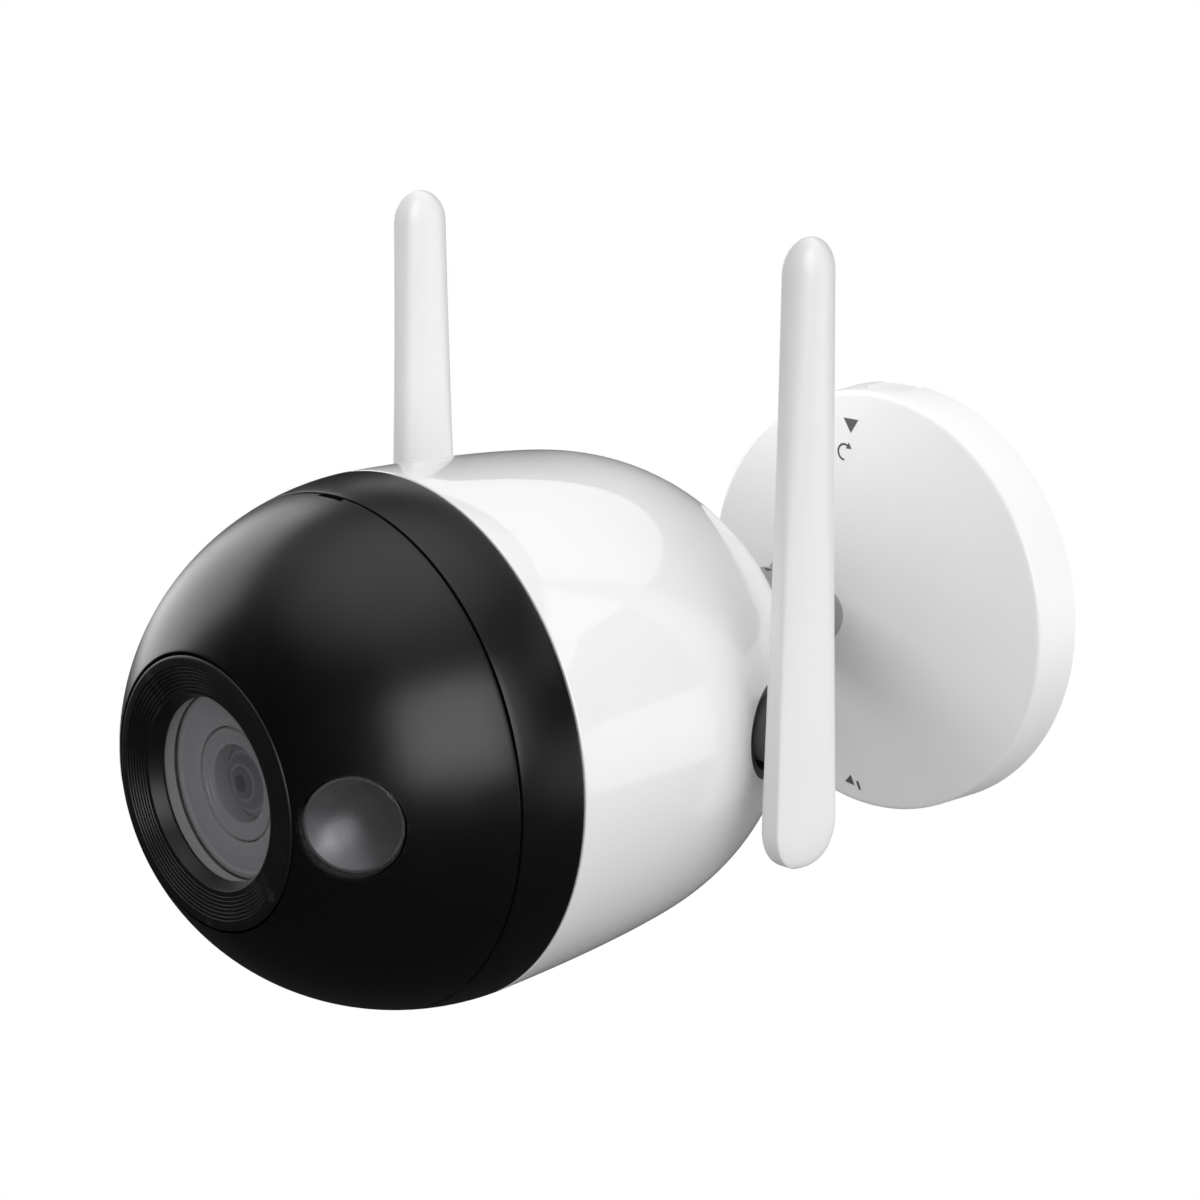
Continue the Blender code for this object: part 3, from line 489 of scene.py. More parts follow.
def bump(tree, shader, heights):
    """Adds one bump on another: each is (height socket, depth in metres, strength)."""
    normal = None
    for height, depth, strength in heights:
        node = add(tree, "Bump")
        node.inputs["Distance"].default_value = depth
        node.inputs["Strength"].default_value = strength
        tree.links.new(height, node.inputs["Height"])
        if normal is not None:
            tree.links.new(normal, node.inputs["Normal"])
        normal = node.outputs["Normal"]
    tree.links.new(normal, shader.inputs["Normal"])


def rubbed_edges(tree):
    """1 on sharp outer edges and 0 elsewhere."""
    place = add(tree, "NewGeometry")
    return spread(tree, place.outputs["Pointiness"], 0.0, 1.0, 0.53, 0.6)


def moulded(name, colour, roughness, grain=(2600.0, 0.00002, 0.12), vary=0.03, tint=0.97, wear=1.03,
            coat=0.0, specular=0.5):
    """Moulded plastic: a fine grain of (scale, depth in metres, strength), a faint long wave, uneven gloss,
    and edges that are rubbed lighter."""
    material, shader = principled(name, colour, roughness)
    tree = material.node_tree
    shader.inputs["Specular IOR Level"].default_value = specular
    shader.inputs["Coat Weight"].default_value = coat
    shader.inputs["Coat Roughness"].default_value = 0.04
    darker = [c * tint for c in colour]
    rubbed = [min(c * wear + (0.01 if wear > 1.1 else 0.0), 0.95) for c in colour]
    cloud = spread(tree, noise(tree, 38.0, 3.0), 0.0, 1.0)
    body = blend(tree, cloud, darker, colour)
    tree.links.new(blend(tree, rubbed_edges(tree), body, rubbed), shader.inputs["Base Color"])
    uneven = spread(tree, noise(tree, 160.0, 4.0), roughness - vary, roughness + vary)
    tree.links.new(uneven, shader.inputs["Roughness"])
    scale, depth, strength = grain
    fine = noise(tree, scale, 3.0)
    long_wave = noise(tree, 70.0, 1.0)
    bump(tree, shader, [(fine, depth, strength), (long_wave, 0.00008, 0.04)])
    return material


def metal(name, colour, roughness, stretch=(40.0, 40.0, 1600.0)):
    """Worked metal: fine lines along the tool's way, and uneven gloss."""
    material, shader = principled(name, colour, roughness, 1.0)
    tree = material.node_tree
    lines = noise(tree, 1.0, 4.0, stretch)
    tree.links.new(spread(tree, lines, roughness - 0.08, roughness + 0.1), shader.inputs["Roughness"])
    darker = [c * 0.82 for c in colour]
    tree.links.new(blend(tree, spread(tree, noise(tree, 220.0, 3.0), 0.0, 1.0), darker, colour),
                   shader.inputs["Base Color"])
    bump(tree, shader, [(lines, 0.00001, 0.15)])
    return material


def board(name):
    """Circuit board: solder mask over lighter tracks."""
    material, shader = principled(name, (0.02, 0.14, 0.06), 0.4)
    tree = material.node_tree
    place = add(tree, "TexCoord")
    tracks = add(tree, "TexVoronoi")
    tracks.feature = "DISTANCE_TO_EDGE"
    tracks.distance = "MANHATTAN"
    tracks.inputs["Scale"].default_value = 420.0
    tree.links.new(place.outputs["Object"], tracks.inputs["Vector"])
    line = spread(tree, tracks.outputs["Distance"], 1.0, 0.0, 0.04, 0.08)
    tree.links.new(blend(tree, line, (0.012, 0.09, 0.04), (0.05, 0.24, 0.1)), shader.inputs["Base Color"])
    tree.links.new(spread(tree, noise(tree, 500.0), 0.3, 0.5), shader.inputs["Roughness"])
    bump(tree, shader, [(line, 0.00003, 0.3)])
    return material


def clear_glass(name, tint, haze, gloss_roughness=0.02):
    """Clear glass: it lets the eye through, carries a faint haze, and mirrors on its outer faces, more
    at a glancing angle."""
    material = bpy.data.materials.new(name)
    tree, surface = own_tree(material, "OutputMaterial")
    through = add(tree, "BsdfTransparent")
    through.inputs["Color"].default_value = (*tint, 1.0)
    dull = add(tree, "BsdfDiffuse")
    dull.inputs["Color"].default_value = (0.5, 0.5, 0.51, 1.0)
    mirror = add(tree, "BsdfGlossy")
    mirror.inputs["Roughness"].default_value = gloss_roughness
    mirror.inputs["Color"].default_value = (0.9, 0.92, 0.95, 1.0)
    hazy = add(tree, "MixShader")
    smear = spread(tree, noise(tree, 90.0, 4.0), haze * 0.8, haze * 1.2)
    tree.links.new(smear, hazy.inputs["Fac"])
    tree.links.new(through.outputs[0], hazy.inputs[1])
    tree.links.new(dull.outputs[0], hazy.inputs[2])
    fresnel = add(tree, "Fresnel")
    fresnel.inputs["IOR"].default_value = 1.5
    mixed = add(tree, "MixShader")
    side = add(tree, "NewGeometry")
    front = spread(tree, side.outputs["Backfacing"], 1.0, 0.0, 0.0, 1.0)
    shine = add(tree, "Math")
    shine.operation = "MULTIPLY"
    tree.links.new(fresnel.outputs[0], shine.inputs[0])
    tree.links.new(front, shine.inputs[1])
    tree.links.new(shine.outputs[0], mixed.inputs["Fac"])
    tree.links.new(hazy.outputs[0], mixed.inputs[1])
    tree.links.new(mirror.outputs[0], mixed.inputs[2])
    tree.links.new(mixed.outputs[0], surface)
    return material


def painted_lens_rings(name, radius):
    """Coated lens seen from the front, under a purple shine. Its colour is painted rings: the lighter rings
    are painted reflections of the lens's inner elements, and the dark middle is painted shade inside the
    lens.
    """
    material, shader = principled(name, (0.1, 0.1, 0.1), 0.06)
    tree = material.node_tree
    place = add(tree, "TexCoord")
    flat = add(tree, "Mapping")
    flat.inputs["Scale"].default_value = (1000.0 / radius, 0.0, 1000.0 / radius)
    tree.links.new(place.outputs["Object"], flat.inputs["Vector"])
    length = add(tree, "VectorMath")
    length.operation = "LENGTH"
    tree.links.new(flat.outputs["Vector"], length.inputs[0])
    ramp = add(tree, "ValToRGB")
    # Painted greys by distance from the middle: a dark centre of painted shade inside the lens, and lighter
    # rings of painted reflection from its inner elements.
    painted_ring_greys = ((0.0, 0.03), (0.2, 0.03), (0.26, 0.12), (0.42, 0.1), (0.48, 0.24), (0.56, 0.14), (0.74, 0.16),
             (0.8, 0.3), (0.88, 0.2))
    band = ramp.color_ramp
    while len(band.elements) < len(painted_ring_greys):
        band.elements.new(0.5)
    for element, (position, grey) in zip(band.elements, painted_ring_greys):
        element.position = position
        element.color = (grey, grey, grey * 1.04, 1.0)
    tree.links.new(length.outputs["Value"], ramp.inputs["Fac"])
    tree.links.new(ramp.outputs["Color"], shader.inputs["Base Color"])
    shader.inputs["Coat Weight"].default_value = 1.0
    shader.inputs["Coat Tint"].default_value = (0.93, 0.88, 1.0, 1.0)
    shader.inputs["Specular Tint"].default_value = (0.7, 0.5, 1.0, 1.0)
    tree.links.new(spread(tree, noise(tree, 300.0), 0.04, 0.09), shader.inputs["Roughness"])
    bump(tree, shader, [(noise(tree, 400.0), 0.000002, 0.02)])
    return material


MATERIALS = {
    "shell": moulded("gloss_white_plastic", (0.87, 0.87, 0.87), 0.34, (3000.0, 0.00001, 0.05),
                     coat=0.8, tint=0.985),
    "base": moulded("satin_white_plastic", (0.91, 0.91, 0.91), 0.42, (2600.0, 0.00002, 0.16)),
    "antenna": moulded("antenna_plastic", (0.85, 0.85, 0.85), 0.4, (2400.0, 0.00002, 0.14)),
    "face": moulded("satin_black_plastic", (0.003, 0.003, 0.0032), 0.31, (3200.0, 0.00001, 0.1),
                    wear=1.6, vary=0.02, specular=0.3),
    "bezel": moulded("bezel_black_plastic", (0.005, 0.005, 0.0053), 0.42, (3200.0, 0.00001, 0.1), wear=2.0,
                     specular=0.35),
    "joint": moulded("joint_grey_plastic", (0.21, 0.21, 0.215), 0.45, (2000.0, 0.00002, 0.2), wear=1.3),
    "inner": moulded("inner_black_plastic", (0.03, 0.03, 0.032), 0.5, wear=1.4),
    "seat": moulded("acetal", (0.3, 0.3, 0.295), 0.4),
    "lens_tube": moulded("lens_tube_plastic", (0.34, 0.34, 0.344), 0.4, wear=1.2),
    "rubber": moulded("seal_rubber", (0.03, 0.03, 0.03), 0.8, (1800.0, 0.00003, 0.3), wear=1.2),
    "mark": moulded("mark_grey", (0.10, 0.10, 0.10), 0.5, wear=1.1),
    "plate": moulded("plate_plastic", (0.80, 0.80, 0.80), 0.5, (1600.0, 0.00003, 0.2)),
    "steel": metal("plated_steel", (0.62, 0.62, 0.64), 0.3),
    "bright": metal("bright_aluminium", (0.8, 0.8, 0.82), 0.22),
    "board": board("circuit_board"),
    "chip": moulded("chip_package", (0.02, 0.02, 0.022), 0.45, (3200.0, 0.00002, 0.3), wear=1.3),
    "window": clear_glass("window_glass", (0.93, 0.93, 0.94), 0.06),
    "spot": clear_glass("side_light_glass", (0.93, 0.93, 0.94), 0.03, 0.05),
    "bowl": metal("satin_bowl", (0.24, 0.24, 0.245), 0.5, (300.0, 300.0, 300.0)),
    "frosted": moulded("ground_glass_edge", (0.34, 0.34, 0.345), 0.6),
    "shroud": moulded("shroud_plastic", (0.38, 0.38, 0.384), 0.5),
    # Lens element colour: painted rings of reflection around a painted dark centre of shade.
    "lens_with_painted_rings": painted_lens_rings("coated_lens_painted_rings", LENS_GLASS_RADIUS),
}


def finish_piece(obj, material, body, slot, *nodes):
    """Gives a piece its material and body, and lets it stand for CAD nodes. Its slot argument is not used.
    """
    obj.data.materials.clear()
    obj.data.materials.append(MATERIALS[material])
    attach(obj, body)
    if nodes:
        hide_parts(*nodes)
    return obj


# ---------------------------------------------------------------- camera, light and floor

def build_camera():
    back = Vector(CAMERA_BACK).normalized()
    right = Vector(CAMERA_UP).cross(back).normalized()
    data = bpy.data.cameras.new("camera")
    data.sensor_width = SENSOR_WIDTH
    data.lens = FOCAL_LENGTH
    data.clip_start = 0.01
    data.clip_end = 20.0
    camera = new_object("camera", data)
    turn = Matrix((right, back.cross(right), back)).transposed().to_4x4()
    camera.matrix_world = Matrix.Translation(CAMERA_PLACE) @ turn
    bpy.context.scene.camera = camera


def area_light(name, azimuth, elevation, distance, width, height, power, matt, gloss, target):
    """Softbox that faces a place on the object. Azimuth 0 is in front, and 90 is on its +X side."""
    a = math.radians(azimuth)
    e = math.radians(elevation)
    way = Vector((math.sin(a) * math.cos(e), -math.cos(a) * math.cos(e), math.sin(e)))
    data = bpy.data.lights.new(name, "AREA")
    data.shape = "RECTANGLE"
    data.size = width
    data.size_y = height
    data.energy = power
    light = new_object(name, data)
    light.location = Vector(target) * MM + way * distance
    light.rotation_euler = way.to_track_quat("Z", "Y").to_euler()
    light.visible_diffuse = matt
    light.visible_glossy = gloss
    light.visible_camera = False


def build_world():
    """White to the eye, a soft fill for dull surfaces that grows towards +X and fades below the horizon,
    and dark in what glossy surfaces mirror, except overhead."""
    world = bpy.data.worlds.new("studio")
    bpy.context.scene.world = world
    tree, surface = own_tree(world, "OutputWorld")
    world.cycles.sampling_method = "NONE"
    place = add(tree, "TexCoord")
    split = add(tree, "SeparateXYZ")
    tree.links.new(place.outputs["Generated"], split.inputs[0])
    total = None
    for axis, low, high in WORLD_SLOPES:
        term = spread(tree, split.outputs[axis], low, high, -1.0, 0.0 if axis == "Z" else 1.0)
        if total is None:
            total = term
            continue
        both = add(tree, "Math")
        tree.links.new(total, both.inputs[0])
        tree.links.new(term, both.inputs[1])
        total = both.outputs[0]
    fill = spread(tree, total, 0.0, 1.96, -0.71, 1.25)
    mirrored = spread(tree, split.outputs["Z"], 0.0, 2.0, 0.74, 0.98)
    background = add(tree, "Background")
    background.inputs["Color"].default_value = (1.0, 1.0, 1.0, 1.0)
    tree.links.new(by_ray(tree, fill, mirrored), background.inputs["Strength"])
    tree.links.new(background.outputs[0], surface)


def build_floor():
    """Floor that glows instead of taking shadows: white to the eye, and nearly dark in mirrors."""
    mesh = bpy.data.meshes.new("floor")
    corners = [(x * FLOOR_HALF, y * FLOOR_HALF, FLOOR_Z) for x, y in ((-1, -1), (1, -1), (1, 1), (-1, 1))]
    mesh.from_pydata(corners, [], [(0, 1, 2, 3)])
    floor = new_object("floor", mesh)
    material = bpy.data.materials.new("pale_floor")
    tree, surface = own_tree(material, "OutputMaterial")
    glow = add(tree, "Emission")
    tree.links.new(by_ray(tree, FLOOR_FILL, FLOOR_MIRRORED), glow.inputs["Strength"])
    tree.links.new(glow.outputs[0], surface)
    mesh.materials.append(material)


def build_studio():
    build_camera()
    build_world()
    build_floor()
    for name, settings in LIGHTS.items():
        area_light(name, *settings)
    bpy.context.scene.view_settings.view_transform = "Standard"


# ---------------------------------------------------------------- head

def hatch_box(name, gap, rounding):
    """Rounded column round the service cover, smaller by a gap on each side."""
    low_z, high_z = HATCH_TOOL_Z
    low = (-HATCH_X + gap, HATCH_FRONT_Y + gap, low_z)
    high = (HATCH_X - gap, HATCH_REAR_Y - gap, high_z)
    return box(name, low, high, rounding, 6, "z")


def build_housing():
    outer = shell_outline()
    dish = arc(BALL_Y, DISH_RADIUS, 20.0, 52.0, 10)
    rim = [(outer[0][0] + 0.05, outer[0][1] - 0.25), (outer[0][0] - 0.05, outer[0][1] + 0.02)]
    wall = [point for point in inset(outer, SHELL_WALL) if point[0] < -48.5][::4]
    border = [(-108.0, HEAD_RADIUS - 0.02, 0), (BORDER_Y, HEAD_RADIUS, 0.3), (BORDER_Y, 36.6, 0.0)]
    outline = dish[:-1] + rim + outer[1:-2] + filleted(border)[1:] + wall[::-1]
    outline += [(-47.1, 13.0), (-47.1, dish[0][1])]
    shell = lathe("housing_shell", outline, 192)
    tools = []
    for _, sign in SIDES:
        start = (sign * 26.0, PIVOT_Y, PIVOT_Z)
        tools.append(rod("pocket_tool", POCKET_RADIUS, start, (sign * 42.0, PIVOT_Y, PIVOT_Z), 96))
    tools.append(hatch_box("hatch_tool", 0.0, 2.0))
    for i in range(SPEAKER_HOLES):
        x = (i - SPEAKER_HOLES // 2) * SPEAKER_PITCH
        tools.append(rod("speaker_tool", 0.9, (x, SPEAKER_Y, -38.0), (x, SPEAKER_Y, -28.0), 24))
    shell, lookup = boolean(shell, tools)
    keep_smooth(shell, lookup)
    finish_piece(shell, "shell", "head", "shell_white", "rear_housing")

    line = outer[-15:]
    hatch = lathe("service_hatch", line + inset(line, SHELL_WALL)[::-1], 192)
    hatch, lookup = boolean(hatch, [hatch_box("hatch_trim", GAP, 1.7)], "INTERSECT")
    seats = []
    for _, y in HATCH_SCREWS_Y:
        profile = [(-32.0, 0.0), (-32.0, 1.4), (-36.9, 1.4), (-36.9, 2.5), (-42.0, 2.5), (-42.0, 0.0)]
        seats.append(lathe("seat_tool", profile, 32, (0, y, 0), (0, 0, 1)))
    hatch, _ = boolean(hatch, seats)
    keep_smooth(hatch, lookup)
    finish_piece(hatch, "shell", "head", "shell_white", "service_cover")
    for name, y in HATCH_SCREWS_Y:
        screw = screw_head(f"hatch_screw_{name}", (0, y, -38.4), (0, 0, -1), 2.1, 1.2, 1.1, 7.4)
        finish_piece(screw, "steel", "head", "steel", f"service_screw_{name}")


def screw_head(name, top, direction, head_radius, head_height, shank_radius, length):
    """Pan head with a cross slot on a threaded shank; top is the middle of the head's outer face."""
    corners = [
        (0.0, 0.0, 0.0),
        (-0.02, head_radius * 0.5, 0.3),
        (-head_height * 0.35, head_radius, 0.5),
        (-head_height, head_radius, 0.1),
        (-head_height, shank_radius, 0.0),
    ]
    outline = filleted(corners)
    pitch = 0.5
    turns = int((length - head_height - 0.8) / pitch)
    for i in range(turns):
        along = -head_height - 0.3 - pitch * i
        outline += [(along, shank_radius), (along - pitch / 2, shank_radius * 0.84)]
    outline += [(-length + 0.5, shank_radius * 0.8), (-length, 0.0)]
    screw = lathe(name, outline, 40, top, direction)
    outward = Vector(direction)
    across = outward.orthogonal().normalized()
    reach = head_radius * 0.55
    tools = []
    for way in (across, outward.cross(across)):
        slot = box("slot_tool", (-0.24, -reach, -0.7), (0.24, reach, 0.5))
        turn = Matrix((way.cross(outward), way, outward)).transposed().to_4x4()
        slot.matrix_world = Matrix.Translation(Vector(top) * MM) @ turn
        tools.append(slot)
    screw, _ = boolean(screw, tools)
    return smooth(screw)


def edged(outline, first_size, last_size):
    """Corners of a line, of which only the two ends are rounded."""
    sizes = [first_size] + [0] * (len(outline) - 2) + [last_size]
    return [(along, radius, size) for (along, radius), size in zip(outline, sizes)]


def build_face():
    band_top = BORDER_Y - GAP
    collar = RING_COLLAR_RADIUS
    groove = RING_INNER_RADIUS + 1.0
    outer = face_outline(band_top, SEAM_Y + 0.1, 10)
    corners = [(-105.5, RING_INNER_RADIUS, 0), (-105.5, collar, 0.2), (-107.8, collar, 0),
               (-107.8, groove, 0), (-109.6, groove, 0), (-109.6, collar, 0), (band_top, collar, 0)]
    corners += edged(outer, 0.2, 0.15) + [(SEAM_Y + 0.1, RING_INNER_RADIUS, 0)]
    band = smooth(lathe("front_band", filleted(corners), 192), 40.0, False)
    finish_piece(band, "face", "head", "face_black", "front_ring")

    back_y = SEAM_Y - 0.2
    outer = face_outline(back_y, face_y(BEZEL_RADIUS + GAP), 44)
    inner = inset(outer, FACE_WALL)[::6]
    corners = edged(outer, 0.15, 0.25) + [(outer[-1][0] + 2.4, outer[-1][1], 0)]
    corners += [(a, r, 0) for a, r in inner[::-1][1:-1]] + [(back_y, outer[0][1] - FACE_WALL, 0)]
    face = lathe("face_shell", filleted(corners), 192)
    tools = [box("slit_tool", (-2.5, SEAM_Y - 0.9, 35.0), (2.5, SEAM_Y + 0.5, 40.0))]
    for _, sign in SIDES:
        centre, outward = spot_place(sign)
        hole = [(-5.0, 0.0), (-5.0, SPOT_RADIUS + GAP), (-0.35, SPOT_RADIUS + GAP),
                (3.0, SPOT_RADIUS + GAP + 1.2), (3.0, 0.0)]
        tools.append(lathe("spot_tool", hole, 96, centre, outward))
    face, lookup = boolean(face, tools)
    keep_smooth(face, lookup)
    finish_piece(face, "face", "head", "face_black", "face_cap")


def spot_place(sign):
    """Middle of a side light on the face, and the way out from there."""
    centre = Vector((sign * SPOT_OFFSET_X, face_y(SPOT_OFFSET_X), 0.0))
    depth = FACE_CENTRE_Y - centre.y
    outward = Vector((centre.x / HEAD_RADIUS**2, -depth / FACE_LENGTH**2, 0.0)).normalized()
    return centre, outward


def build_side_lights():
    """Clear domed lenses over satin bowls."""
    for side, sign in SIDES:
        centre, outward = spot_place(sign)
        curve = [(-SPOT_DOME * (k / 24) ** 2, SPOT_RADIUS * k / 24) for k in range(24)]
        rim = filleted([(-SPOT_DOME, SPOT_RADIUS, 0.1), (-1.8, SPOT_RADIUS, 0.1), (-1.8, 0.0, 0)])
        lens = smooth(lathe(f"side_light_lens_{side}", curve + rim, 96, centre, outward), 40.0, False)
        finish_piece(lens, "spot", "head", "light_lens", f"spotlight_lens_{side}")

        shares = [k / 14 for k in range(15)]
        corners = [(BOWL_BACK + BOWL_DEPTH * share**1.9, BOWL_RADIUS * share, 0) for share in shares]
        corners += [(-2.1, 6.7, 0.1), (-2.6, 6.7, 0.1), (-5.7, 4.4, 0.1), (-5.7, 0.0, 0)]
        reflector = smooth(lathe(f"side_light_bowl_{side}", filleted(corners), 96, centre, outward), 40.0)
        finish_piece(reflector, "bowl", "head", "reflector_silver", f"spotlight_reflector_{side}")


def build_bezel():
    lip_y = WINDOW_FRONT_Y - GAP
    lip_radius = WINDOW_RADIUS - 0.4
    corners = [(BEZEL_BACK_Y, BEZEL_RADIUS, 0.2), (BEZEL_FRONT_Y, BEZEL_RADIUS, 0.5)]
    start = BEZEL_RADIUS - 1.5
    tread = (start - APERTURE_RADIUS - 0.3) / BEZEL_RIDGES
    for i in range(BEZEL_RIDGES):
        radius = start - i * tread
        y = BEZEL_FRONT_Y + i * BEZEL_RISE
        below = y + BEZEL_RISE
        corners += [(y, radius, 0.04), (below + 0.1, radius - 0.08, 0.03), (below, radius - 0.22, 0.03)]
    last_y = BEZEL_FRONT_Y + BEZEL_RIDGES * BEZEL_RISE
    corners += [(last_y, APERTURE_RADIUS, 0.15), (lip_y - 0.25, lip_radius, 0.1), (lip_y, lip_radius, 0),
                (lip_y, WINDOW_RADIUS + GAP, 0), (BEZEL_BACK_Y, WINDOW_RADIUS + GAP, 0)]
    bezel = smooth(lathe("lens_bezel", filleted(corners, 3), 192), 45.0)
    finish_piece(bezel, "bezel", "head", "face_black", "bezel_ring")

    back = WINDOW_FRONT_Y + WINDOW_THICKNESS
    corners = [(back, 0.0, 0), (back, WINDOW_RADIUS, 0.15), (WINDOW_FRONT_Y, WINDOW_RADIUS, 0.15),
               (WINDOW_FRONT_Y, 0.0, 0)]
    window = smooth(lathe("window_pane", filleted(corners), 128), 40.0)
    finish_piece(window, "window", "head", "clear_glass", "lens_window")
    window.data.materials.append(MATERIALS["frosted"])
    for polygon in window.data.polygons:
        if abs(polygon.normal.y) < 0.3:
            polygon.material_index = 1


def build_lens():
    shroud = [(-141.25, 13.2, 0.1), (-141.25, 12.6, 0.1), (-141.0, 12.2, 0.1), (-141.0, 8.2, 0.1),
              (-140.35, 8.2, 0.1), (-140.35, 13.2, 0.1)]
    ring = smooth(lathe("window_shroud", filleted(shroud), 128), 40.0)
    finish_piece(ring, "shroud", "head", "seal_rubber", "window_gasket")

    front = LENS_FRONT_Y
    corners = [(-121.0, 3.4, 0), (-121.0, 6.0, 0.2), (-136.0, 6.0, 0), (-136.0, 7.6, 0.1),
               (front + 0.4, 8.0, 0.1), (front, 7.8, 0.15), (front, 7.2, 0.1), (front + 0.25, 7.1, 0.05),
               (front + 0.25, 6.5, 0.08), (front + 0.5, 6.4, 0.05), (front + 0.5, 5.55, 0.05),
               (-136.6, 5.5, 0), (-136.6, 3.4, 0)]
    tube = smooth(lathe("lens_tube", filleted(corners, 3), 128), 40.0)
    finish_piece(tube, "lens_tube", "head", "inner_black", "lens_barrel")

    radii = [LENS_GLASS_RADIUS * k / 20 for k in range(21)]
    curve = [(LENS_GLASS_Y + 1.7 * (r / LENS_GLASS_RADIUS) ** 2, r) for r in radii]
    outline = curve + [(-136.9, LENS_GLASS_RADIUS), (-136.9, 0.0)]
    # The front element carries painted rings of reflection and a painted dark centre of shade.
    element = smooth(lathe("lens_front_glass", outline, 96), 40.0, False)
    finish_piece(element, "lens_with_painted_rings", "head", "clear_glass", "lens_element")


# ---------------------------------------------------------------- antennas

def blade_section(half_x, half_y, share):
    """Section of a blade, from a sharp-edged bar at its foot (share 0) to an oval at its tip (share 1)."""
    steps = (0.0, 0.2, 0.4, 0.58, 0.72, 0.83, 0.91, 0.965, 1.0)
    quarter = [(1.0, q) for q in steps] + [(p, 1.0) for p in steps[-2:0:-1]]
    squareness = (1.0 - share) ** 3.2
    bulge = 0.5 + 0.3 * share
    points = []
    for sign_x, sign_y, sharpest in ((1, 1, 6.0), (-1, 1, 8.0), (-1, -1, 8.0), (1, -1, 24.0)):
        power = BLADE_SOFT_POWER + (sharpest - BLADE_SOFT_POWER) * squareness
        part = []
        for p, q in quarter + [(0.0, 1.0)]:
            reach = (p**power + q**power) ** (-1.0 / power)
            across = p * reach
            along = q * reach
            if sign_x > 0:
                across -= across * bulge / half_x * along**2
            part.append((sign_x * half_x * across, sign_y * half_y * along))
        if sign_x != sign_y:
            part = part[::-1]
        points += part[:-1]
    return points


def draw_blade(name, sign):
    """Blade drawn as stacked rounded sections, with a round tip and a round foot."""
    middle_x = (BLADE_INNER_X + BLADE_OUTER_X) / 2
    half_x = (BLADE_OUTER_X - BLADE_INNER_X) / 2
    foot_z = BLADE_BOTTOM_Z + BLADE_FOOT_RADIUS
    tip_z = BLADE_TOP_Z - BLADE_TIP_RADIUS
    rows = []
    for i in range(15):
        angle = math.radians(4 + 86 * i / 14)
        z = foot_z - BLADE_FOOT_RADIUS * math.cos(angle)
        rows.append((z, 0.0, math.sin(angle) ** 0.8, math.sin(angle) ** 0.35))
    for i in range(1, 24):
        share = i / 24
        rows.append((foot_z + (tip_z - foot_z) * share, share, 1.0, 1.0))
    for i in range(16):
        angle = math.radians(86 * i / 15)
        z = tip_z + BLADE_TIP_RADIUS * math.sin(angle)
        rows.append((z, 1.0, math.cos(angle), math.cos(angle) ** 0.9))
    shape = bmesh.new()
    rings = []
    for z, share, wide, thick in rows:
        y = BLADE_FOOT_Y + (BLADE_TIP_Y - BLADE_FOOT_Y) * share
        half_y = (BLADE_FOOT_RADIUS + (BLADE_TIP_RADIUS - BLADE_FOOT_RADIUS) * share) * wide
        ring = []
        for across, along in blade_section(half_x, half_y, share):
            x = sign * (middle_x + thick * across)
            ring.append(shape.verts.new((x * MM, (y + along) * MM, z * MM)))
        rings.append(ring)
    skin(shape, rings)
    return object_of(name, shape)


def round_shading(blade):
    """Leans a blade's normals further round its long axis towards the tip, as on a fuller oval bar."""
    mesh = blade.data
    normals = []
    for loop in mesh.loops:
        z = mesh.vertices[loop.vertex_index].co.z / MM
        share = min(max((z - BLADE_BOTTOM_Z) / (BLADE_TOP_Z - BLADE_BOTTOM_Z), 0.0), 1.0)
        normal = mesh.corner_normals[loop.index].vector.copy()
        normal.y *= 1.0 + BLADE_FULLNESS * share
        normals.append(tuple(normal.normalized()))
    mesh.normals_split_custom_set(normals)


def build_antenna(side, sign):
    blade = smooth(draw_blade(f"antenna_{side}_blade", sign), 50.0, False)
    round_shading(blade)
    body = f"antenna_{side}"
    finish_piece(blade, "antenna", body, "antenna_white", f"antenna_blade_{side}")

    origin = (0, PIVOT_Y, PIVOT_Z)
    outward = (sign, 0, 0)
    groove = BARREL_RADIUS - 0.3
    corners = [(38.8, 0.0, 0), (38.8, BARREL_RADIUS, 0.25), (36.6, BARREL_RADIUS, 0.08),
               (36.6, groove, 0.05), (36.0, groove, 0.05), (36.0, BARREL_RADIUS, 0.08),
               (29.2, BARREL_RADIUS, 0.2), (28.9, 2.5, 0.1), (24.0, 2.5, 0.2), (24.0, 0.0, 0)]
    barrel = smooth(lathe(f"antenna_{side}_barrel", filleted(corners), 96, origin, outward), 40.0)
    finish_piece(barrel, "joint", body, "joint_grey", f"antenna_barrel_{side}")

    outer = POCKET_RADIUS - GAP
    corners = [(40.0, 6.2, 0), (40.0, outer, 0), (27.2, outer, 0.2),
               (27.2, 2.8, 0), (28.6, 2.8, 0.1), (28.6, 6.2, 0.2)]
    cup = lathe(f"antenna_{side}_socket", filleted(corners), 96, origin, outward)
    line = inset(shell_outline(), 0.5)
    guide = lathe("socket_guide", [(line[0][0], 0.0)] + line + [(line[-1][0], 0.0)], 192)
    cup, _ = boolean(cup, [guide], "INTERSECT")
    smooth(cup, 40.0)
    finish_piece(cup, "inner", "head", "inner_black", f"antenna_socket_{side}")


# ---------------------------------------------------------------- base and arm

def swung(obj, angle_deg):
    """Turns a piece drawn on the +X side round the camera's axis."""
    obj.data.transform(Matrix.Rotation(-math.radians(angle_deg), 4, "Y"))
    return obj


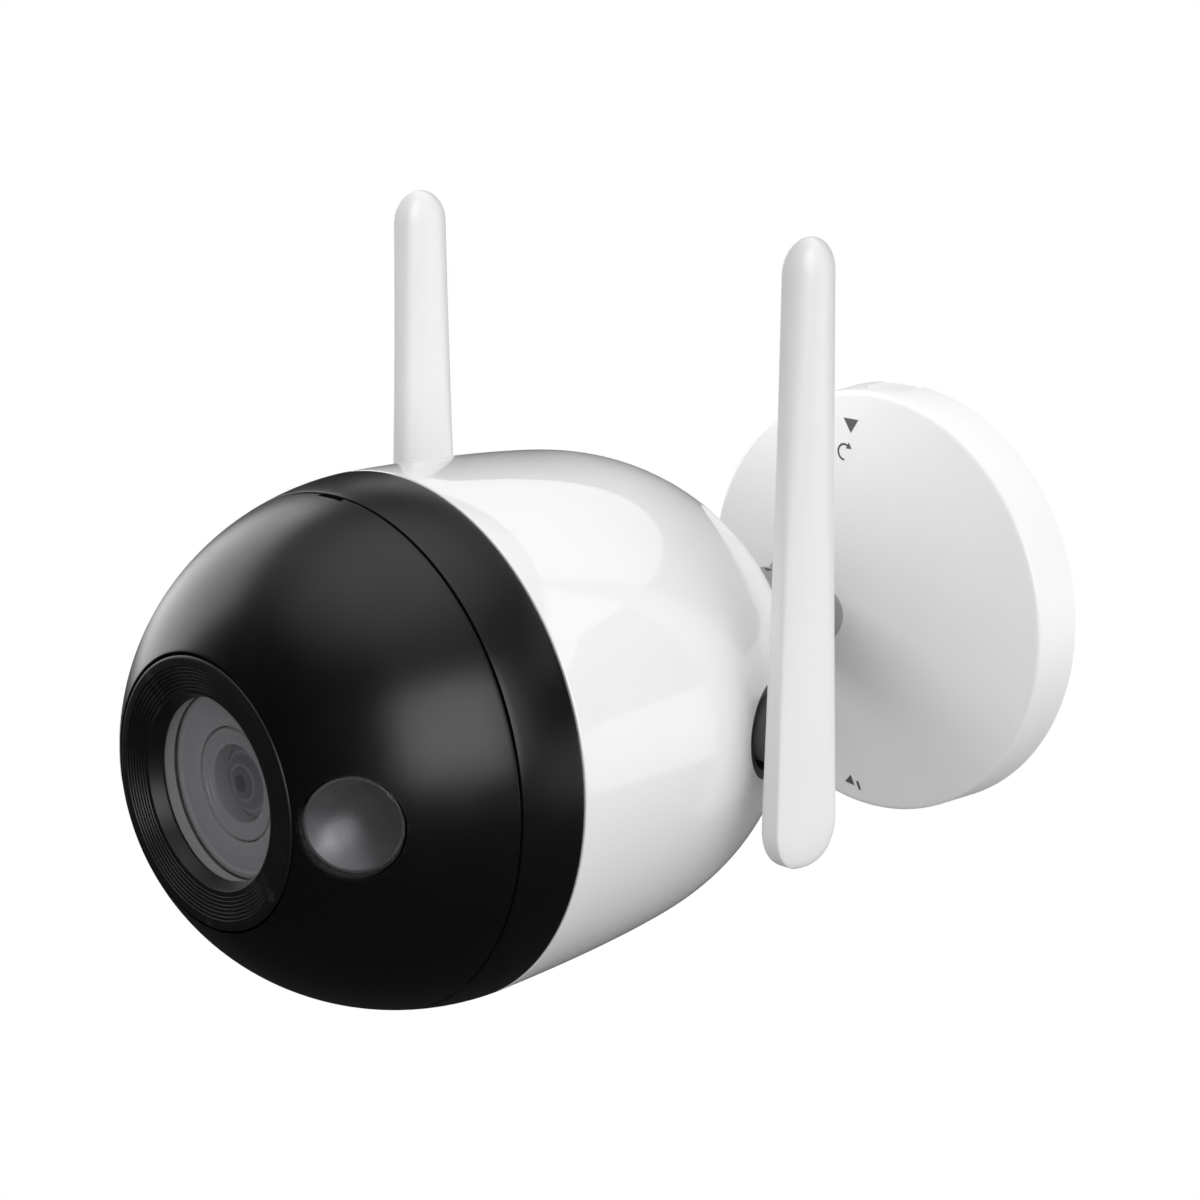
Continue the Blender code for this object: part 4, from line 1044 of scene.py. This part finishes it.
def build_base():
    rim_inside = BASE_RADIUS_BACK - BASE_WALL - 0.2
    inside_y = BASE_FRONT_Y + BASE_WALL
    corners = [(inside_y, 0.0, 0), (inside_y, rim_inside, 0.8), (-GAP, rim_inside, 0.2),
               (-GAP, BASE_RADIUS_BACK, 0.3), (BASE_FRONT_Y, BASE_RADIUS_FRONT, 0.9), (BASE_FRONT_Y, 0.0, 0)]
    cover = lathe("base_shell", filleted(corners, 6), 192)
    slot = box("plug_slot", (-4.7, -7.1, 31.0), (3.8, 2.6, 37.0), 2.6, 8, "z")
    holes = []
    for dx, z in ARM_SCREW_OFFSETS:
        x = ARM_SCREW_X + dx
        holes.append(rod("screw_hole", 1.5, (x, -5.0, z), (x, -11.0, z), 24))
    cover, lookup = boolean(cover, [slot] + holes)
    keep_smooth(cover, lookup)
    finish_piece(cover, "base", "cover", "base_white", "base_cover")
    for i, angle in enumerate(BAYONET_DEG):
        ledge = box(f"cover_ledge_{i}", (LEDGE_RADIUS, -1.1, -8.0), (rim_inside + 0.9, -0.5, 8.0), 0.15)
        finish_piece(smooth(swung(ledge, angle)), "base", "cover", "base_white")

    plug = smooth(box("blanking_plug", (-4.4, -6.8, 33.2), (3.5, -GAP, 35.7), 2.3, 8, "z"), 40.0)
    finish_piece(plug, "base", "cover", "base_white", "cable_plug")

    corners = [(0.0, 7.0, 0.2), (0.0, 12.0, 0.0), (0.0, 26.5, 0.1), (-0.35, 27.0, 0.1), (-0.35, 29.0, 0.1),
               (0.0, 29.5, 0.1), (0.0, PLATE_RADIUS, 0.3), (-PLATE_THICKNESS, PLATE_RADIUS, 0.3),
               (-PLATE_THICKNESS, 0.0, 0), (0.0, 0.0, 0)]
    plate = lathe("wall_plate", filleted(corners), 160)
    tools = [rod("cable_hole", CABLE_HOLE_RADIUS, (CABLE_HOLE_X, 1, 0), (CABLE_HOLE_X, -4, 0), 64)]
    for angle in BAYONET_DEG:
        a = math.radians(angle + 60.0)
        centre = (PLATE_SCREWS_RADIUS * math.cos(a), 0.0, PLATE_SCREWS_RADIUS * math.sin(a))
        profile = [(1.0, 0.0), (1.0, 2.1), (-1.3, 2.1), (-3.0, 3.6), (-3.0, 0.0)]
        tools.append(lathe("plate_hole", profile, 32, centre, AXIS))
    lugs = []
    for angle in BAYONET_DEG:
        lug = box("plate_lug", (PLATE_RADIUS - 3, -PLATE_THICKNESS + 0.1, -5), (LUG_RADIUS, -1.4, 5), 0.3)
        lugs.append(swung(lug, angle))
    plate, lookup = boolean(plate, tools)
    plate, _ = boolean(plate, lugs, "UNION")
    keep_smooth(plate, lookup)
    finish_piece(plate, "plate", "wall", "base_white", "mounting_plate")


def flat_mark(name, outlines):
    """Printed mark that starts just inside the cover's front, from outlines of (x, z)."""
    back = BASE_FRONT_Y + MARK_SINK
    shape = bmesh.new()
    for outline in outlines:
        rings = []
        for y in (back, back - MARK_THICKNESS):
            rings.append([shape.verts.new((x * MM, y * MM, z * MM)) for x, z in outline])
        skin(shape, rings)
    finish_piece(smooth(object_of(name, shape)), "mark", "cover", "joint_grey")


def on_circle(centre, radius, angle):
    return centre.x + radius * math.cos(angle), centre.y + radius * math.sin(angle)


def build_marks():
    """Plain turn marks: a pointer and a curved arrow at the top, and two small ones at the bottom."""
    flat_mark("pointer_mark", [[(-5.7, 30.8), (-2.5, 30.8), (-4.1, 28.4)]])
    centre = Vector((-5.5, 25.0))
    angles = [math.radians(60 + 210 * i / 16) for i in range(17)]
    ring = [on_circle(centre, 1.5, angle) for angle in angles]
    inner = [on_circle(centre, 1.15, angle) for angle in angles]
    bands = [[ring[i], ring[i + 1], inner[i + 1], inner[i]] for i in range(16)]
    tip_x, tip_z = on_circle(centre, 1.32, angles[0])
    arrow = [on_circle(centre, 0.75, angles[0]), on_circle(centre, 1.95, angles[0])]
    flat_mark("turn_mark", bands + [arrow + [(tip_x + 0.95, tip_z - 0.45)]])
    flat_mark("lower_pointer_mark", [[(-4.5, -32.6), (-3.3, -31.2), (-2.4, -32.9)]])
    flat_mark("lower_line_mark", [[(-2.1, -32.0), (-1.5, -32.0), (-0.9, -33.4), (-1.4, -33.4)]])


def draw_bar(foot_top):
    """Cranked round bar from the back of the ball socket to the arm's foot."""
    sides = 64
    start = Vector((0.0, BALL_Y + 9.3, 0.0))
    end = Vector((ARM_FOOT_X, foot_top - 2.0, 0.0))
    reach = Vector((0.0, 7.0, 0.0))
    line = geometry.interpolate_bezier(start, start + reach, end - reach, end, 28)
    up = Vector((0, 0, 1))
    shape = bmesh.new()
    rings = []
    for i, point in enumerate(line):
        ahead = line[min(i + 1, len(line) - 1)] - line[max(i - 1, 0)]
        ahead.normalize()
        across = ahead.cross(up).normalized()
        ring = []
        for k in range(sides):
            angle = 2 * math.pi * (k + 0.5) / sides
            place = point + ARM_BAR_RADIUS * (math.cos(angle) * across + math.sin(angle) * up)
            ring.append(shape.verts.new(place * MM))
        rings.append(ring)
    skin(shape, rings)
    return object_of("arm_bar", shape)


def grip(angle, along, radius):
    """Ridges of the lock ring, cut into its outer surface only."""
    if math.hypot(along - BALL_Y, radius) < SOCKET_OUTER_RADIUS - 0.4:
        return radius
    share = 0.5 + 0.5 * math.cos(angle * LOCK_RING_RIDGES)
    return radius - LOCK_RING_RIDGE_HEIGHT * share**2


def build_arm():
    rear = arc(BALL_Y, SOCKET_OUTER_RADIUS, 180.0, 91.5, 28)
    neck_front = BALL_Y - SOCKET_NECK_LENGTH
    neck_inside = math.degrees(math.acos(SOCKET_NECK_LENGTH / SOCKET_INNER_RADIUS))
    threaded_neck = [(rear[-1][0], SOCKET_NECK_RADIUS), (neck_front, SOCKET_NECK_RADIUS)]
    inside = arc(BALL_Y, SOCKET_INNER_RADIUS, neck_inside, 180.0, 24)
    cup = lathe("camera_arm", rear + threaded_neck + inside, 128)
    foot_top = BASE_FRONT_Y - GAP
    bar = draw_bar(foot_top)
    foot_end = foot_top - ARM_FOOT_HEIGHT
    corners = [(foot_top, 0.0, 0), (foot_top, ARM_FOOT_RADIUS, 0.15), (foot_top - 1.8, ARM_FOOT_RADIUS, 0.4),
               (foot_end, ARM_FOOT_RADIUS - 0.6, 0.2), (foot_end, 0.0, 0)]
    foot = lathe("arm_foot", filleted(corners), 96, (ARM_FOOT_X, 0, 0))
    arm, _ = boolean(cup, [bar, foot], "UNION")
    smooth(arm, 40.0)
    finish_piece(arm, "joint", "cover", "joint_grey", "socket_arm")

    outer = arc(BALL_Y, SOCKET_OUTER_RADIUS, 88.5, SOCKET_MOUTH_DEG, 10)
    inner = arc(BALL_Y, SOCKET_INNER_RADIUS, SOCKET_MOUTH_DEG, 76.0, 5)
    bore = SOCKET_NECK_RADIUS + 0.2
    inner += [(inner[-1][0], bore), (outer[0][0], bore)]
    ring = smooth(lathe("lock_collar", outer + inner, 240, ripple=grip), 40.0, False)
    finish_piece(ring, "joint", "lock_ring", "joint_grey", "lock_ring")

    neck = math.degrees(math.asin(STUD_RADIUS / BALL_RADIUS))
    outline = arc(BALL_Y, BALL_RADIUS, 180.0, neck, 40)
    outline += [(STUD_END_Y + 0.6, STUD_RADIUS), (STUD_END_Y, STUD_RADIUS - 0.6), (STUD_END_Y, 0.0)]
    ball = smooth(lathe("ball_and_stud", outline, 96), 40.0)
    finish_piece(ball, "joint", "head", "joint_grey", "ball_stud")


# ---------------------------------------------------------------- looks of the CAD nodes that stay

CAD_LOOKS = {
    "seat": ("front_seat", "rear_seat"),
    "rubber": ("front_seal", "service_gasket"),
    "inner": ("lens_holder", "reset_button", "speaker"),
    "bright": ("chassis", "heat_sink"),
    "steel": ("arm_screw_upper", "arm_screw_lower", "board_screw_1", "board_screw_2", "board_screw_3",
              "board_screw_4", "stud_washer", "stud_nut", "antenna_washer_left", "antenna_washer_right",
              "antenna_clip_left", "antenna_clip_right", "wifi_module", "card_socket", "microphone"),
    "board": ("main_board", "sensor_board", "led_board_left", "led_board_right"),
    "chip": ("processor_chip", "image_sensor", "reset_switch"),
}


def paint_cad_nodes():
    """Gives the CAD nodes that stay their procedural materials."""
    for look, names in CAD_LOOKS.items():
        for name in names:
            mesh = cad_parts[name].data
            mesh.materials.clear()
            mesh.materials.append(MATERIALS[look])


def main():
    build_studio()
    build_housing()
    build_face()
    build_side_lights()
    build_bezel()
    build_lens()
    for side, sign in SIDES:
        build_antenna(side, sign)
    build_base()
    build_marks()
    build_arm()
    paint_cad_nodes()


main()
